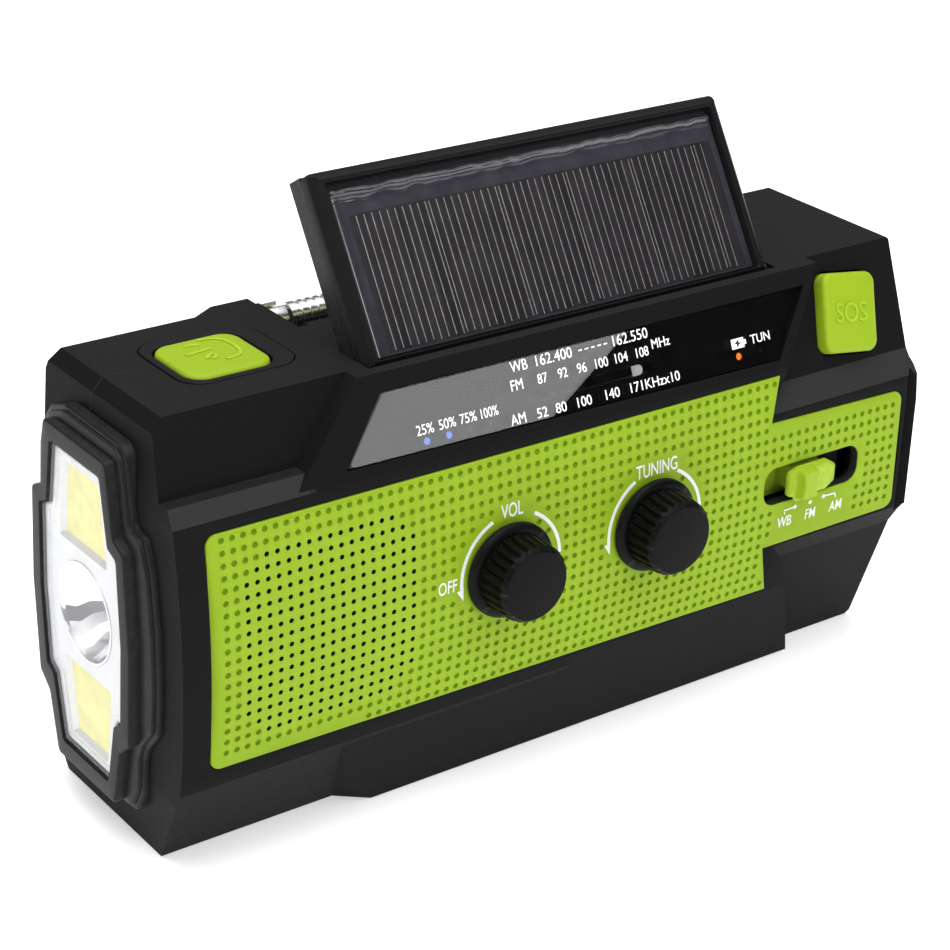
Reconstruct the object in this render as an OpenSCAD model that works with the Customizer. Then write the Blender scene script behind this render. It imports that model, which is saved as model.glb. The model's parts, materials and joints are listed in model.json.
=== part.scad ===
// Hand-crank emergency radio with a folding solar lid, end lamp and telescopic antenna.
// Millimetres. Origin at the centre of the flat base, +X along the case towards the
// slide switch end, +Y to the back (crank side), +Z up.

/* [Case] */
// wall thickness of the case shells
wall = 2.2; // [1.8:0.1:2.6]
// clearance between parts that move past each other
gap = 0.35; // [0.3:0.05:0.4]
// radius of the gentle bow of the front face
bow_r = 137; // [120:1:170]

/* [Knobs] */
// knob grip radius
knob_r = 6.7; // [6.3:0.1:6.9]
// knob height above its flange
knob_h = 6.4; // [5:0.1:8]
// number of grip flutes on each knob
flutes = 26; // [16:2:30]

/* [Solar lid] */
// how far the lid leans back from vertical when it stands open
lid_lean = 32.5; // [25:0.5:40]
// lid size along its slope
lid_len = 31.2; // [28:0.1:31.6]
// lid thickness
lid_th = 6.6; // [6:0.1:6.8]

/* [Antenna] */
// radius of the outermost antenna tube
ant_r = 2.6; // [2.4:0.1:2.8]

/* [Hidden] */
$fn = 48;
xl = -76.9; xr = 75.6;            // reference ends
xle = -75.3;                      // left end face of the case
ypart = 1.9;                      // parting plane between the shells
front_y = -26.6; bow_z = 37.5;    // crest of the bowed front
eps = 0.01;
pin_x0 = -35.7; pin_x1 = 47.3;    // lid sides
py = -13.59; pz = 74.55;          // lid hinge axis
vol_x = -15.6; tun_x = 14.4; knob_z = 40.1;
ant_y = 20.8; ant_z = 69.4; knuckle_x = -31;   // antenna axis and knuckle
crank_x = 38; crank_z = 38; crank_l = 34;    // crank axis and arm length

// ---- helpers --------------------------------------------------------------
// solid whose section in Y-Z is pts, running from xa to xb
module prism_x(pts, xa, xb) translate([xa,0,0]) rotate([90,0,90]) linear_extrude(xb-xa) polygon(pts);
// solid whose outline in X-Z is pts, running from ya to yb
module prism_y(ya, yb) translate([0,yb,0]) rotate([90,0,0]) linear_extrude(yb-ya) children();
// rounded rectangle in 2-D from straight pieces and true arcs
module rr(x0, z0, x1, z1, r) {
  translate([x0+r,z0]) square([x1-x0-2*r, z1-z0]);
  translate([x0,z0+r]) square([x1-x0, z1-z0-2*r]);
  for (p = [[x0+r,z0+r],[x1-r,z0+r],[x0+r,z1-r],[x1-r,z1-r]]) translate(p) circle(r);
}
module bx(x0,y0,z0,x1,y1,z1) translate([x0,y0,z0]) cube([x1-x0,y1-y0,z1-z0]);
module cy(x,z,r,y0,y1) translate([x,y0,z]) rotate([-90,0,0]) cylinder(r=r, h=y1-y0);
module cx(y,z,r,x0,x1) translate([x0,y,z]) rotate([0,90,0]) cylinder(r=r, h=x1-x0);
module cz(x,y,r,z0,z1) translate([x,y,z0]) cylinder(r=r, h=z1-z0);
// region inside the bowed front face, grown outwards by d
module bow(d=0) translate([-100, front_y+bow_r, bow_z]) rotate([0,90,0]) cylinder(r=bow_r+d, h=200);

// ---- case sections (Y,Z) ---------------------------------------------------
rear = [[15.5,75.6],[25.4,50],[25.4,26],[15.5,0]];
sec_left  = concat([[-15.5,0],[-25.1,16.7],[-27.4,16.8],[-27.4,61.6],[-24.5,61.6],[-22.4,64.2],[-19.9,64.2],[-15.5,75.6]], rear);
sec_mid   = concat([[-19.6,0],[-25.2,18.2],[-27.4,18.3],[-27.4,61.0],[-24.55,61.0],[-18.5,75.6]], rear);
sec_right = concat([[-15.5,0],[-23.1,22.75],[-25.9,27.3],[-27.4,27.4],[-27.4,53.0],[-25.7,53.0],[-22.7,57.0],[-15.5,75.6]], rear);
sec_in = [[-13.2,wall],[-20.6,23],[-23.0,28.5],[-23.9,34],[-23.9,44],[-23.0,51.5],[-20.2,57],[-16.0,67.6],
          [16.2,67.6],[25.4-wall,49.5],[25.4-wall,26.5],[13.8,wall]];
// outline of the raised middle of the front, in X-Z
mid_zone = [[-57,18.2],[-57,0],[55.5,0],[46,24],[43.2,27.6],[40,53.2],[55.3,75.6],[-39.6,75.6],[-54.6,61]];
module case_solid() difference() {
  intersection() {
    union() {
      prism_x(sec_left, xl, 0);
      prism_x(sec_right, 0, xr);
      // raised middle, its lower left corner sliced off by a sloping facet
      difference() {
        intersection() { prism_x(sec_mid, -60, 60); prism_y(-40, 40) polygon(mid_zone); }
        translate([-36.5,-19.6,0]) rotate([0,31.3,230.7]) translate([0,-70,-70]) cube([70,140,140]);
      }
    }
    bow();
  }
  // left end: leaning in above and below the lamp, broken edges
  prism_y(-40,40) polygon([[xl-5,-1],[xle+1.7,-1],[xle+1.7,0],[xle,14],[xle,62],[xle+1.6,73.6],[xle+3.5,75.6],[xle+3.5,80],[xl-5,80]]);
  // left end: slanted rear corner
  translate([0,0,-1]) linear_extrude(90) polygon([[xle-1,14.4],[xle+12,27.4],[xle-1,27.4]]);
  // right end: broken edges, and set back above and below the panel
  prism_y(-40,40) polygon([[xr+5,-1],[xr-1.2,-1],[xr-1.2,0],[xr-0.4,0.8],[xr-0.4,26],[xr,27],[xr,54.4],[xr-0.4,55.6],[xr-0.4,75.2],[xr-0.8,75.6],[xr-0.8,80],[xr+5,80]]);
  for (s=[[xr-1.3,1]]) {
    translate([s[0],front_y,37]) rotate([0,0,45]) cube([2.4,2.4,90],center=true);
    translate([s[0],25.4,37]) rotate([0,0,45]) cube([2.4,2.4,90],center=true);
  }
}
module cavity() {
  prism_x(sec_in, xle+10.9, xr-wall-0.6);
  prism_x([[-11,6],[-15.5,20],[-16.5,38],[-15,55],[-11,66],[11,66],[13,55],[14,38],[13,20],[11,6]], xle+3.6, xle+11);
}

// ---- lamp outlines in Y-Z, centred on the end -------------------------------
lamp_y = -0.3; lamp_z = 37.9;
function mirrored(p) = concat(p, [for (i=[len(p)-1:-1:0]) [-p[i][0], p[i][1]]]);
// outline grown by d from the shape of the lamp bezel
function lamp_out(d) = mirrored([[9.9+d,29.8+d],[11.7+d,17.9+d],[14.7+d,16.5+d*0.7],[15.7+d,0],[14.7+d,-16.5-d*0.7],[11.7+d,-19.2-d],[9.4+d,-29.6-d]]);
flange_pts = [[-10.2,32.5],[-12,31.2],[-13.9,20.4],[-17.4,19.8],[-19.2,14.5],[-20.3,5],[-20.4,-5],[-19.6,-13],[-16.4,-16.8],
  [-15.3,-19.4],[-14.7,-25.6],[-12.2,-30.2],[10,-31.5],[12.5,-29.5],[13.5,-18],[16.2,-14],[17.2,0],[16.2,14],[15.2,24],[14.2,27.5],[11.5,30.8],[6.8,32.6]];
lens_pts = mirrored([[7.8,26.7],[9.7,15.6],[12.2,14.6],[12.9,0],[12.0,-13.9],[9.8,-15.2],[7.5,-26.4]]);
module lamp_slab(pts, xa, xb) translate([xa,lamp_y,lamp_z]) rotate([90,0,90]) linear_extrude(xb-xa) polygon(pts);

// ---- face panel outline in X-Z, shrunk by d ----------------------------------
// points round a corner of radius r centred at c, from angle a0 to a1
function arc(c, r, a0, a1, n=8) = [for (i=[0:n]) [c[0]+r*cos(a0+(a1-a0)*i/n), c[1]+r*sin(a0+(a1-a0)*i/n)]];
module panel_2d(d=0) polygon(concat(
  arc([-68.5+d,57.8-d],1.9,180,90), [[42.9-d,59.7-d],[41.0-d,51.6-d]],
  arc([70-d,49.0-d],1.9,88,0), arc([70-d,29.7+d],1.9,0,-90),
  [[41.0-d,27.6+d],[43.2-d,18.6+d]], arc([-68.5+d,21.5+d],1.9,-91,-180)));
slot_x0 = 39.7; slot_x1 = 61.8; slot_z = 39.5; slot_h = 7.0;
module slot_2d(d=0) rr(slot_x0-d, slot_z-slot_h/2-d, slot_x1+d, slot_z+slot_h/2+d, 2.6+d*0.5);

// speaker holes: columns and rows of the lattice, corners cut
sp_x = -48.9; sp_z = 39.5;
module grille_2d(r) for (i=[-4:4], j=[-4:4])
  if (abs(i)+abs(j) < 7) translate([sp_x+i*3.76, sp_z+j*3.99]) circle(r=r, $fn=8);

// slanted dial frame: local x along the case, local y up the slope, z outwards
dial_a = atan2(6.05,14.6);
module on_dial() translate([0,-24.55,61]) rotate([90-dial_a,0,0]) children();
// slanted right shoulder, for the alarm button
sh_a = atan2(7.2,18.6);
module on_shoulder() translate([63.1,-19.4,65.5]) rotate([90-sh_a,0,0]) children();
// the alarm button sits turned on that shoulder
module on_sos() on_shoulder() translate([-1.3,-0.2,0]) rotate([0,0,-8]) children();
win = [[-44.6,2.4],[43.2,1.2],[51.4,12.6],[-35.9,12.9]];
function inset(p,c,k) = [for (q=p) [c[0]+(q[0]-c[0])*k[0], c[1]+(q[1]-c[1])*k[1]]];

// lid frame: local x along the case, local y up the slope from the hinge, z out of the solar face
module on_lid() translate([0,py,pz]) rotate([90-lid_lean,0,0]) translate([0,-0.2,2.2]) children();

// ---- case ------------------------------------------------------------------
module case_cuts() {
  cavity();
  // lid tray with an open back, and the hinge pin bores
  difference() {
    bx(pin_x0-gap, -16.4, 69.3, pin_x1+gap, 40, 90);
  }
  cx(py,pz,0.85,pin_x0-3.4,pin_x1+3.4);
  // lamp opening in the left end
  lamp_slab(lamp_out(-1.9), xl-5, xl+12);
  // lamp button well
  translate([0,0,60]) linear_extrude(20) rr(-63.2,-8.7,-42.3,10.2,4.4);
}
module front_shell() color([0.13,0.13,0.14]) difference() {
  union() {
    difference() { intersection() { case_solid(); bx(-100,-60,-5,100,ypart,90); } case_cuts(); }
    intersection() { screw_posts(-22,ypart,3.2); case_solid(); }
  }
  // pocket for the face panel
  difference() { prism_y(-40,-10) panel_2d(0); translate([0,0,0]) bow(-1.9); }
  // speaker opening, knob shaft holes, switch slot
  prism_y(-40,-10) intersection() { translate([sp_x,sp_z]) square([33,35],center=true); grille_2d(0.95); }
  cy(vol_x,knob_z,4.4,-40,-10); cy(tun_x,knob_z,4.4,-40,-10);
  prism_y(-40,-10) slot_2d(0.3);
  // dial window pocket and pointer slot
  on_dial() translate([0,0,-2.2]) linear_extrude(10) polygon(win);
  on_dial() translate([0,0,-12]) linear_extrude(10.5) translate([-10,4.2]) square([28,3.0]);
  for (x=[-29.5,-25.3,-21.3,-17.3,34.7,39.5]) on_dial() translate([x,3.5,-9]) cylinder(r=1.1,h=12);
  // alarm button window
  on_sos() translate([0,0,-14]) linear_extrude(20) rr(-6.35,-7.35,6.35,7.35,2.3);
  // screw posts are bored from the back
  for (p=[[-62,10],[62,10],[-62,62],[66,52]]) cy(p[0],p[1],1.2,-6,ypart+1);
}
module screw_posts(y0,y1,r) for (p=[[-62,10],[62,10],[-62,62],[66,52]]) cy(p[0],p[1],r,y0,y1);
module rear_shell() color([0.12,0.12,0.13]) difference() {
  union() {
    difference() {
      intersection() { case_solid(); bx(-100,ypart+0.05,-5,100,60,90); }
      case_cuts();
    }
    // boss that carries the antenna at the back of the top
    prism_x([[11,66],[17,62],[24.4,65.6],[24.4,71.2],[18.1,75.6],[11,75.6]], -43.5, -36.6);
    intersection() { screw_posts(ypart+0.05,24,3.2); case_solid(); }
  }
  // countersunk screw holes
  screw_posts(-5,60,1.55);
  for (p=[[-62,10],[62,10]]) cy(p[0],p[1],3.1,14.5,60);
  for (p=[[-62,62],[66,52]]) cy(p[0],p[1],3.1,14.5,60);
  // groove the folded antenna lies in, cleared round the knuckle
  cx(ant_y,ant_z,3.3,-36.6,60);
  cx(ant_y,ant_z,4.4,-36.6,-26);
  cx(ant_y,ant_z,1.02,-42.5,-30);
  // crank spindle bore and arm recess
  cy(crank_x,crank_z,4.06,15,60);
  cy(crank_x,crank_z,11,24.0,60);
  // battery door opening
  bx(-66,20,16.5,-18,60,46);
  // port opening in the right end
  bx(xr-6,4.5,30,xr+4,17.5,50);
}

// ---- front parts -------------------------------------------------------------
module face_panel() color([0.56,0.70,0.13]) difference() {
  intersection() { prism_y(-40,-10) panel_2d(0.15); bow(0.25); }
  bow(-1.7);
  prism_y(-40,-10) grille_2d(0.75);
  cy(vol_x,knob_z,4.6,-40,-10); cy(tun_x,knob_z,4.6,-40,-10);
  prism_y(-40,-10) slot_2d(0);
}
module dial_window() color([0.05,0.05,0.06,0.6]) on_dial() translate([0,0,-0.9])
  linear_extrude(1.0) polygon(inset(win,[3.5,7.2],[0.996,0.965]));
module dial_plate() color([0.03,0.03,0.03]) on_dial() difference() {
  translate([0,0,-2.1]) linear_extrude(1.0) polygon(inset(win,[3.5,7.2],[0.996,0.965]));
  translate([-9.4,4.75,-5]) cube([26.6,1.9,10]);
  for (x=[-29.5,-25.3,-21.3,-17.3,34.7,39.5]) translate([x,3.5,-5]) cylinder(r=0.75,h=10);
}
module dial_pointer() color([0.92,0.92,0.92]) on_dial() {
  translate([14.4,5.7,-2.2]) cylinder(r=0.8,h=0.8);
  translate([13.5,4.9,-2.2]) cube([0.9,1.6,0.8]);
  translate([13.3,5.0,-5.4]) cube([1.8,1.4,3.3]);
  // carriage behind the front
  translate([8.3,3.4,-8.6]) cube([12,4.6,2.4]);
  translate([13.3,5.0,-6.3]) cube([1.8,1.4,1.0]);
}
module led_row(xs) on_dial() for (x=xs) translate([x,3.5,-6.5]) { cylinder(r=0.6,h=5.2); cylinder(r=0.95,h=2.2); }
module level_leds() color([0.35,0.5,1.0]) { led_row([-29.5,-25.3,-21.3,-17.3]);
  on_dial() translate([-31,2.3,-7.6]) cube([15.2,2.4,1.2]); }
module status_leds() color([1.0,0.45,0.1]) { led_row([34.7,39.5]);
  on_dial() translate([33.4,2.3,-7.6]) cube([7.4,2.4,1.2]); }

// knob with a base flange, fluted grip and chamfered cap; axis along -Y
module knob() rotate([90,0,0]) difference() {
  rotate_extrude() polygon([[0,0],[8.3,0],[8.3,1.0],[7.7,1.45],[knob_r,1.5],[knob_r-0.3,knob_h+0.4],[knob_r-0.9,knob_h+1.1],[0,knob_h+1.1]]);
  for (i=[0:flutes-1]) rotate(i*360/flutes) translate([knob_r+0.1,0,2.0]) cylinder(r=0.45,h=knob_h+2);
  translate([0,0,-1]) cylinder(r=1.6,h=5.2);
}
module knob_at(x) translate([x,front_y-0.6,knob_z]) knob();
module volume_knob() color([0.06,0.06,0.065]) { knob_at(vol_x); }
module tuning_knob() color([0.06,0.06,0.065]) { knob_at(tun_x); }
// control bodies behind the front; the shafts pass through clearance holes
module volume_shaft() color([0.75,0.75,0.77]) cy(vol_x,knob_z,1.5,-31.0,-14.3);
module volume_control() color([0.5,0.5,0.52]) difference() { cy(vol_x,knob_z,7.0,-19.4,-14.6); cy(vol_x,knob_z,1.56,-20,-13); }
module tuning_shaft() color([0.75,0.75,0.77]) { cy(tun_x,knob_z,1.5,-31.0,-14.3); cy(tun_x,knob_z,8,-21.4,-20.2); }
module tuning_capacitor() color([0.85,0.83,0.75]) difference() { bx(tun_x-9,-19.7,knob_z-9,tun_x+9,-14.6,knob_z+9); cy(tun_x,knob_z,1.56,-20,-13); }
module band_slider() color([0.56,0.70,0.13]) {
  // finger bar in three steps, narrow neck through the slot, wide shoe behind
  difference() {
    union() {
      prism_y(-28.0,-26.9) rr(44.5,slot_z-2.9,55.4,slot_z+2.9,1.0);
      prism_y(-29.6,-27.9) rr(45.9,slot_z-2.7,51.2,slot_z+2.7,1.0);
    }
  }
  bx(46.5,-27.0,slot_z-2.2,53.5,-22.0,slot_z+2.2);
  bx(43.8,-22.1,slot_z-4.2,56.2,-20.9,slot_z+4.2);
}
module band_switch() color([0.3,0.3,0.32]) difference() {
  bx(37,-20.5,slot_z-5.5,63,-15.5,slot_z+5.5);
  bx(39,-21,slot_z-3,61,-17.2,slot_z+3);
}
module sos_button() color([0.56,0.70,0.13]) on_sos() {
  difference() {
    union() {
      translate([0,0,-1.0]) linear_extrude(2.9) rr(-6.0,-7.0,6.0,7.0,2.0);
      translate([0,0,1.8]) linear_extrude(0.5) rr(-5.5,-6.5,5.5,6.5,1.7);
    }
  }
  translate([0,0,-4.2]) cylinder(r=1.6,h=3.3);
}
module sos_switch() color([0.2,0.2,0.2]) on_sos() { translate([-3,-3,-8.3]) cube([6,6,3.0]); translate([0,0,-5.4]) cylinder(r=1.5,h=0.5);
  translate([-6,-4.4,-9.6]) cube([12,8.8,1.3]); }
module lamp_button() color([0.56,0.70,0.13]) {
  translate([0,0,72.2]) linear_extrude(3.6) rr(-61.3,-7.0,-46.4,7.3,3.2);
  translate([0,0,75.7]) linear_extrude(0.4) rr(-60.8,-6.5,-46.9,6.8,2.8);
  cz(-52.75,0.55,2,69.6,72.3);
}
module lamp_button_ring() color([0.11,0.11,0.12]) difference() {
  translate([0,0,72.0]) linear_extrude(3.7) rr(-63.0,-8.5,-42.5,10.0,4.2);
  translate([0,0,70]) linear_extrude(10) rr(-61.65,-7.35,-46.05,7.65,3.5);
}
module lamp_switch() color([0.2,0.2,0.2]) { bx(-55.75,-2.45,65.5,-49.75,3.55,68.6); cz(-52.75,0.55,1.6,68.5,68.7);
  bx(-57.5,-5,64.2,-46.5,6,65.6); }

// ---- lamp ------------------------------------------------------------------
module lamp_bezel() color([0.14,0.14,0.15]) difference() {
  union() {
    // broad flange that sits on the end face
    difference() { lamp_slab(flange_pts, xl+0.3, xl+3.6); case_solid(); }
    lamp_slab(lamp_out(0), xl-1.6, xl+0.4);
  }
  lamp_slab(lamp_out(-1.9), xl+0.4, xl+4);
  lamp_slab(lens_pts, xl-4, xl+3);
}
module lamp_lens() color([0.9,0.95,1.0,0.3]) lamp_slab([for (p=lens_pts) [p[0]*0.985,p[1]*0.99]], xl-1.3, xl-0.8);
module lamp_reflector() color([0.92,0.92,0.93]) difference() {
  lamp_slab([for (p=lens_pts) [p[0]*0.97,p[1]*0.985]], xl-0.6, xl+1.2);
  cx(lamp_y,lamp_z,8.1,xl-5,xl+10);
  for (s=[-1,1]) bx(xl-5,lamp_y-6.6,lamp_z+s*17.2-6.4,xl+10,lamp_y+6.6,lamp_z+s*17.2+6.4);
}
module cob_strips() color([0.95,0.9,0.45]) for (s=[-1,1])
  bx(xl-0.3,lamp_y-6.4,lamp_z+s*17.2-6.2,xl+1.55,lamp_y+6.4,lamp_z+s*17.2+6.2);
module spot_bowl() color([0.9,0.9,0.92]) translate([xl-0.6,lamp_y,lamp_z]) rotate([0,90,0]) rotate_extrude()
  polygon([[7.4,0],[8.0,0],[7.0,3.2],[5.2,6.2],[3.2,8.4],[3.2,9.2],[2.2,9.2],[2.2,8.0],[4.6,5.6],[6.4,2.8]]);
module spot_led() color([0.95,0.93,0.7]) translate([xl,lamp_y,lamp_z]) rotate([0,90,0]) { translate([0,0,6.9]) cylinder(r=1.9,h=2.2); translate([0,0,6.9]) sphere(r=1.6); }
module lamp_board() color([0.1,0.3,0.15]) difference() {
  bx(xl+1.6,lamp_y-7.0,lamp_z-25,xl+3.0,lamp_y+7.0,lamp_z+25);
  cx(lamp_y,lamp_z,7.7,xl,xl+9);
}

// ---- solar lid -----------------------------------------------------------------
lid_x0 = pin_x0; lid_x1 = pin_x1;
module lid_block(z0,z1,d=0) translate([lid_x0+d,-1.2+d,z0]) cube([lid_x1-lid_x0-2*d, lid_len+1.2-2*d, z1-z0]);
module solar_frame() color([0.12,0.12,0.13]) on_lid() difference() {
  union() {
    translate([0,0,-3.3]) lid_block(0,1.97);
    // bevelled rim from four sloping strips
    difference() {
      translate([0,0,-1.34]) lid_block(0,1.34);
      translate([lid_x0,-5,-1.34]) rotate([0,-45,0]) translate([-6,0,0]) cube([6,60,6]);
      translate([lid_x1,-5,-1.34]) rotate([0,45,0]) cube([6,60,6]);
      translate([-60,lid_len,-1.34]) rotate([-45,0,0]) cube([130,6,6]);
    }
  }
  // well for the cell
  translate([lid_x0+2.3,0.4,-1.7]) cube([lid_x1-lid_x0-4.6, lid_len-2.4, 5]);
  translate([lid_x0+3.6,2,-5]) cube([lid_x1-lid_x0-7.2, lid_len-5.6, 5]);
  // hinge pin bores
  for (x=[lid_x0-1, lid_x1-8]) translate([x,0.2,-2.2]) rotate([0,90,0]) cylinder(r=0.85,h=9);
}
module solar_back() color([0.12,0.12,0.13]) on_lid() difference() {
  translate([0,0,-lid_th]) lid_block(0,lid_th-3.35);
  translate([lid_x0+2,2.2,-lid_th+1.4]) cube([lid_x1-lid_x0-4, lid_len-5.2, 5]);
  translate([-22,12,-lid_th-1]) cube([55,8,3]);
}
module solar_cell() color([0.07,0.06,0.08]) on_lid() translate([lid_x0+2.5,0.6,-1.65]) cube([lid_x1-lid_x0-5, lid_len-2.8, 0.9]);
module solar_hinge_pins() color([0.7,0.7,0.72]) { cx(py,pz,0.8,pin_x0-3.2,pin_x0+2.2); cx(py,pz,0.8,pin_x1-2.2,pin_x1+3.2); }
module reading_lens() color([0.9,0.92,0.95,0.5]) on_lid() translate([-21.8,12.2,-lid_th]) cube([54.6,7.6,1.3]);
module reading_leds() color([0.95,0.95,0.8]) on_lid() { for (i=[0:5]) translate([-16+i*8.6,15,-lid_th+1.45]) cube([2.8,2.8,0.8]);
  translate([-22,11.5,-lid_th+2.2]) cube([55,9,0.9]); }

// ---- antenna ----------------------------------------------------------------------
// folded along the top back corner; swivel turns about X, tubes telescope along +X
module antenna_mount() color([0.75,0.75,0.77]) { cx(ant_y,ant_z,1.0,-42.3,-34.4); cx(ant_y,ant_z,2.9,-36.5,-36.1); }
module antenna_swivel() color([0.78,0.78,0.8]) {
  difference() {
    cx(ant_y,ant_z,3.1,-35.9,knuckle_x+2.4);
    cx(ant_y,ant_z,1.06,-36,-34.2);
    bx(knuckle_x-2.7,ant_y-1.35,ant_z-5,knuckle_x+4,ant_y+1.35,ant_z+5);
  }
  cy(knuckle_x,ant_z,0.8,ant_y-2.4,ant_y+2.4);
}
module antenna_tube_a() color([0.82,0.82,0.84]) difference() {
  union() {
    bx(knuckle_x-1.2,ant_y-1.0,ant_z-1.9,knuckle_x+4.0,ant_y+1.0,ant_z+1.9);
    cx(ant_y,ant_z,ant_r,knuckle_x+3.5,40);
  }
  cy(knuckle_x,ant_z,0.86,ant_y-5,ant_y+5);
  cx(ant_y,ant_z,2.06,knuckle_x+5.5,41);
  // turned rings near the knuckle
  for (i=[0:3]) translate([knuckle_x+5+i*1.6,ant_y,ant_z]) rotate([0,90,0]) difference() { cylinder(r=4,h=0.6); cylinder(r=ant_r-0.25,h=0.6); }
}
module antenna_tube_b() color([0.84,0.84,0.86]) difference() { cx(ant_y,ant_z,2.0,knuckle_x+6,42); cx(ant_y,ant_z,1.46,knuckle_x+8,43); }
module antenna_tube_c() color([0.86,0.86,0.88]) cx(ant_y,ant_z,1.4,knuckle_x+8.5,44.2);
module antenna_tip() color([0.8,0.8,0.82]) cx(ant_y,ant_z,2.4,44.2,47.2);

// ---- crank and dynamo ----------------------------------------------------------------
module crank_spindle() color([0.75,0.75,0.77]) { cy(crank_x,crank_z,4.0,15.2,24.4); cy(crank_x,crank_z,2.0,10.0,15.3);
  cy(crank_x,crank_z,6.5,24.35,25.8); }
module crank_arm() color([0.13,0.13,0.14]) difference() {
  union() {
    cy(crank_x,crank_z,7.0,25.8,29.0);
    bx(crank_x-crank_l,25.8,crank_z-4.2,crank_x,28.6,crank_z+4.2);
    cy(crank_x-crank_l,crank_z,5.2,25.8,28.6);
  }
  cy(crank_x-crank_l,crank_z,2.06,20,40);
}
module crank_grip() color([0.10,0.10,0.11]) { cy(crank_x-crank_l,crank_z,2.0,26.0,29.0);
  translate([crank_x-crank_l,28.95,crank_z]) rotate([-90,0,0]) rotate_extrude() polygon([[0,0],[5,0],[5,4.0],[3.9,5.0],[0,5.0]]); }
// spur gear, teeth as trapezoids on a disc
module gear(n, m, h) { rp = n*m/2; union() { cylinder(r=rp-1.2*m, h=h);
  for (i=[0:n-1]) rotate(i*360/n) linear_extrude(h) polygon([[rp-1.4*m,-0.75*m],[rp,-0.60*m],[rp+0.9*m,-0.30*m],[rp+0.9*m,0.30*m],[rp,0.60*m],[rp-1.4*m,0.75*m]]); } }
gm = 1.0; gn1 = 31; gn2 = 10; dyn_x = crank_x-(gn1+gn2)/2*gm;
module drive_gear() color([0.9,0.9,0.85]) difference() {
  translate([crank_x,14.6,crank_z]) rotate([90,0,0]) gear(gn1,gm,3);
  cy(crank_x,crank_z,2.0,8,20);
}
module dynamo_rotor() color([0.6,0.6,0.62]) {
  translate([dyn_x,14.6,crank_z]) rotate([90,0,0]) gear(gn2,gm,3);
  cy(dyn_x,crank_z,1.5,-6.6,15.8);
  cy(dyn_x,crank_z,6.5,-5,7);
}
module dynamo_body() color([0.72,0.72,0.74]) difference() {
  cy(dyn_x,crank_z,9.5,-8.5,10.2);
  cy(dyn_x,crank_z,7.0,-5.6,8.2);
  cy(dyn_x,crank_z,1.56,-7.2,12);
}

// ---- power and rear parts -----------------------------------------------------------
module battery_door() color([0.12,0.12,0.13]) difference() {
  union() { bx(-65.6,23.6,16.9,-18.4,25.35,45.6); bx(-63,21.6,18.5,-21,23.7,44); }
  for (i=[0:5]) bx(-28-i*1.8,25.0,26,-27.2-i*1.8,27,36);
  bx(-61,20,20.5,-23,22.6,42);
}
module battery_cell() color([0.2,0.45,0.75]) cx(11.0,25.5,9.0,-64,-4);
module port_cover() color([0.16,0.16,0.17]) { bx(xr-1.6,4.9,30.4,xr-0.1,17.1,49.6); translate([xr-0.1,5.2,30.9]) rotate([-90,0,0]) cylinder(r=0.5,h=11.6); bx(xr-3.0,7,38,xr-1.55,15,46); }
module port_board() color([0.1,0.35,0.2]) { bx(xr-20,4,33,xr-7,18,34.4);
  bx(xr-14,6.5,34.4,xr-6.3,14.5,37.2); bx(xr-14,6.5,41,xr-6.3,14.5,47); bx(xr-18,4,34.3,xr-15,18,48); }
module main_board() color([0.08,0.32,0.16]) { bx(-30,-13.6,24,52,-12.2,60);
  for (p=[[-26,50],[2,30],[34,48],[-8,53]]) bx(p[0],-12.3,p[1],p[0]+8,-9.8,p[1]+6); }
module speaker() color([0.16,0.16,0.17]) translate([sp_x,0,sp_z]) rotate([90,0,0]) difference() {
  union() { translate([0,0,19.0]) cylinder(r=15.2,h=1.6); translate([0,0,12.6]) cylinder(r1=9,r2=14.6,h=6.5); translate([0,0,8.4]) cylinder(r=8.8,h=4.3); }
  translate([0,0,15.4]) cylinder(r1=5,r2=13.6,h=5.3);
}
module ferrite_rod() color([0.2,0.2,0.2]) cx(5,57,4.0,-8,60);
module ferrite_coil() color([0.7,0.4,0.2]) difference() { cx(5,57,5.2,8,30); cx(5,57,4.05,7,31); }
module case_screws() color([0.6,0.6,0.62]) for (p=[[-62,10],[62,10],[-62,62],[66,52]]) {
  cy(p[0],p[1],1.15,-5,14.6); cy(p[0],p[1],2.7,14.55,16.4); }

front_shell();
rear_shell();
face_panel();
dial_window();
dial_plate();
dial_pointer();
level_leds();
status_leds();
volume_knob();
volume_shaft();
volume_control();
tuning_knob();
tuning_shaft();
tuning_capacitor();
band_slider();
band_switch();
sos_button();
sos_switch();
lamp_button();
lamp_button_ring();
lamp_switch();
lamp_bezel();
lamp_lens();
lamp_reflector();
cob_strips();
spot_bowl();
spot_led();
lamp_board();
solar_frame();
solar_back();
solar_cell();
solar_hinge_pins();
reading_lens();
reading_leds();
antenna_mount();
antenna_swivel();
antenna_tube_a();
antenna_tube_b();
antenna_tube_c();
antenna_tip();
crank_spindle();
crank_arm();
crank_grip();
drive_gear();
dynamo_rotor();
dynamo_body();
battery_door();
battery_cell();
port_cover();
port_board();
main_board();
speaker();
ferrite_rod();
ferrite_coil();
case_screws();
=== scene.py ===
import json, math, random
import bpy, bmesh
from mathutils import Vector, Matrix
from mathutils.geometry import delaunay_2d_cdt


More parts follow.
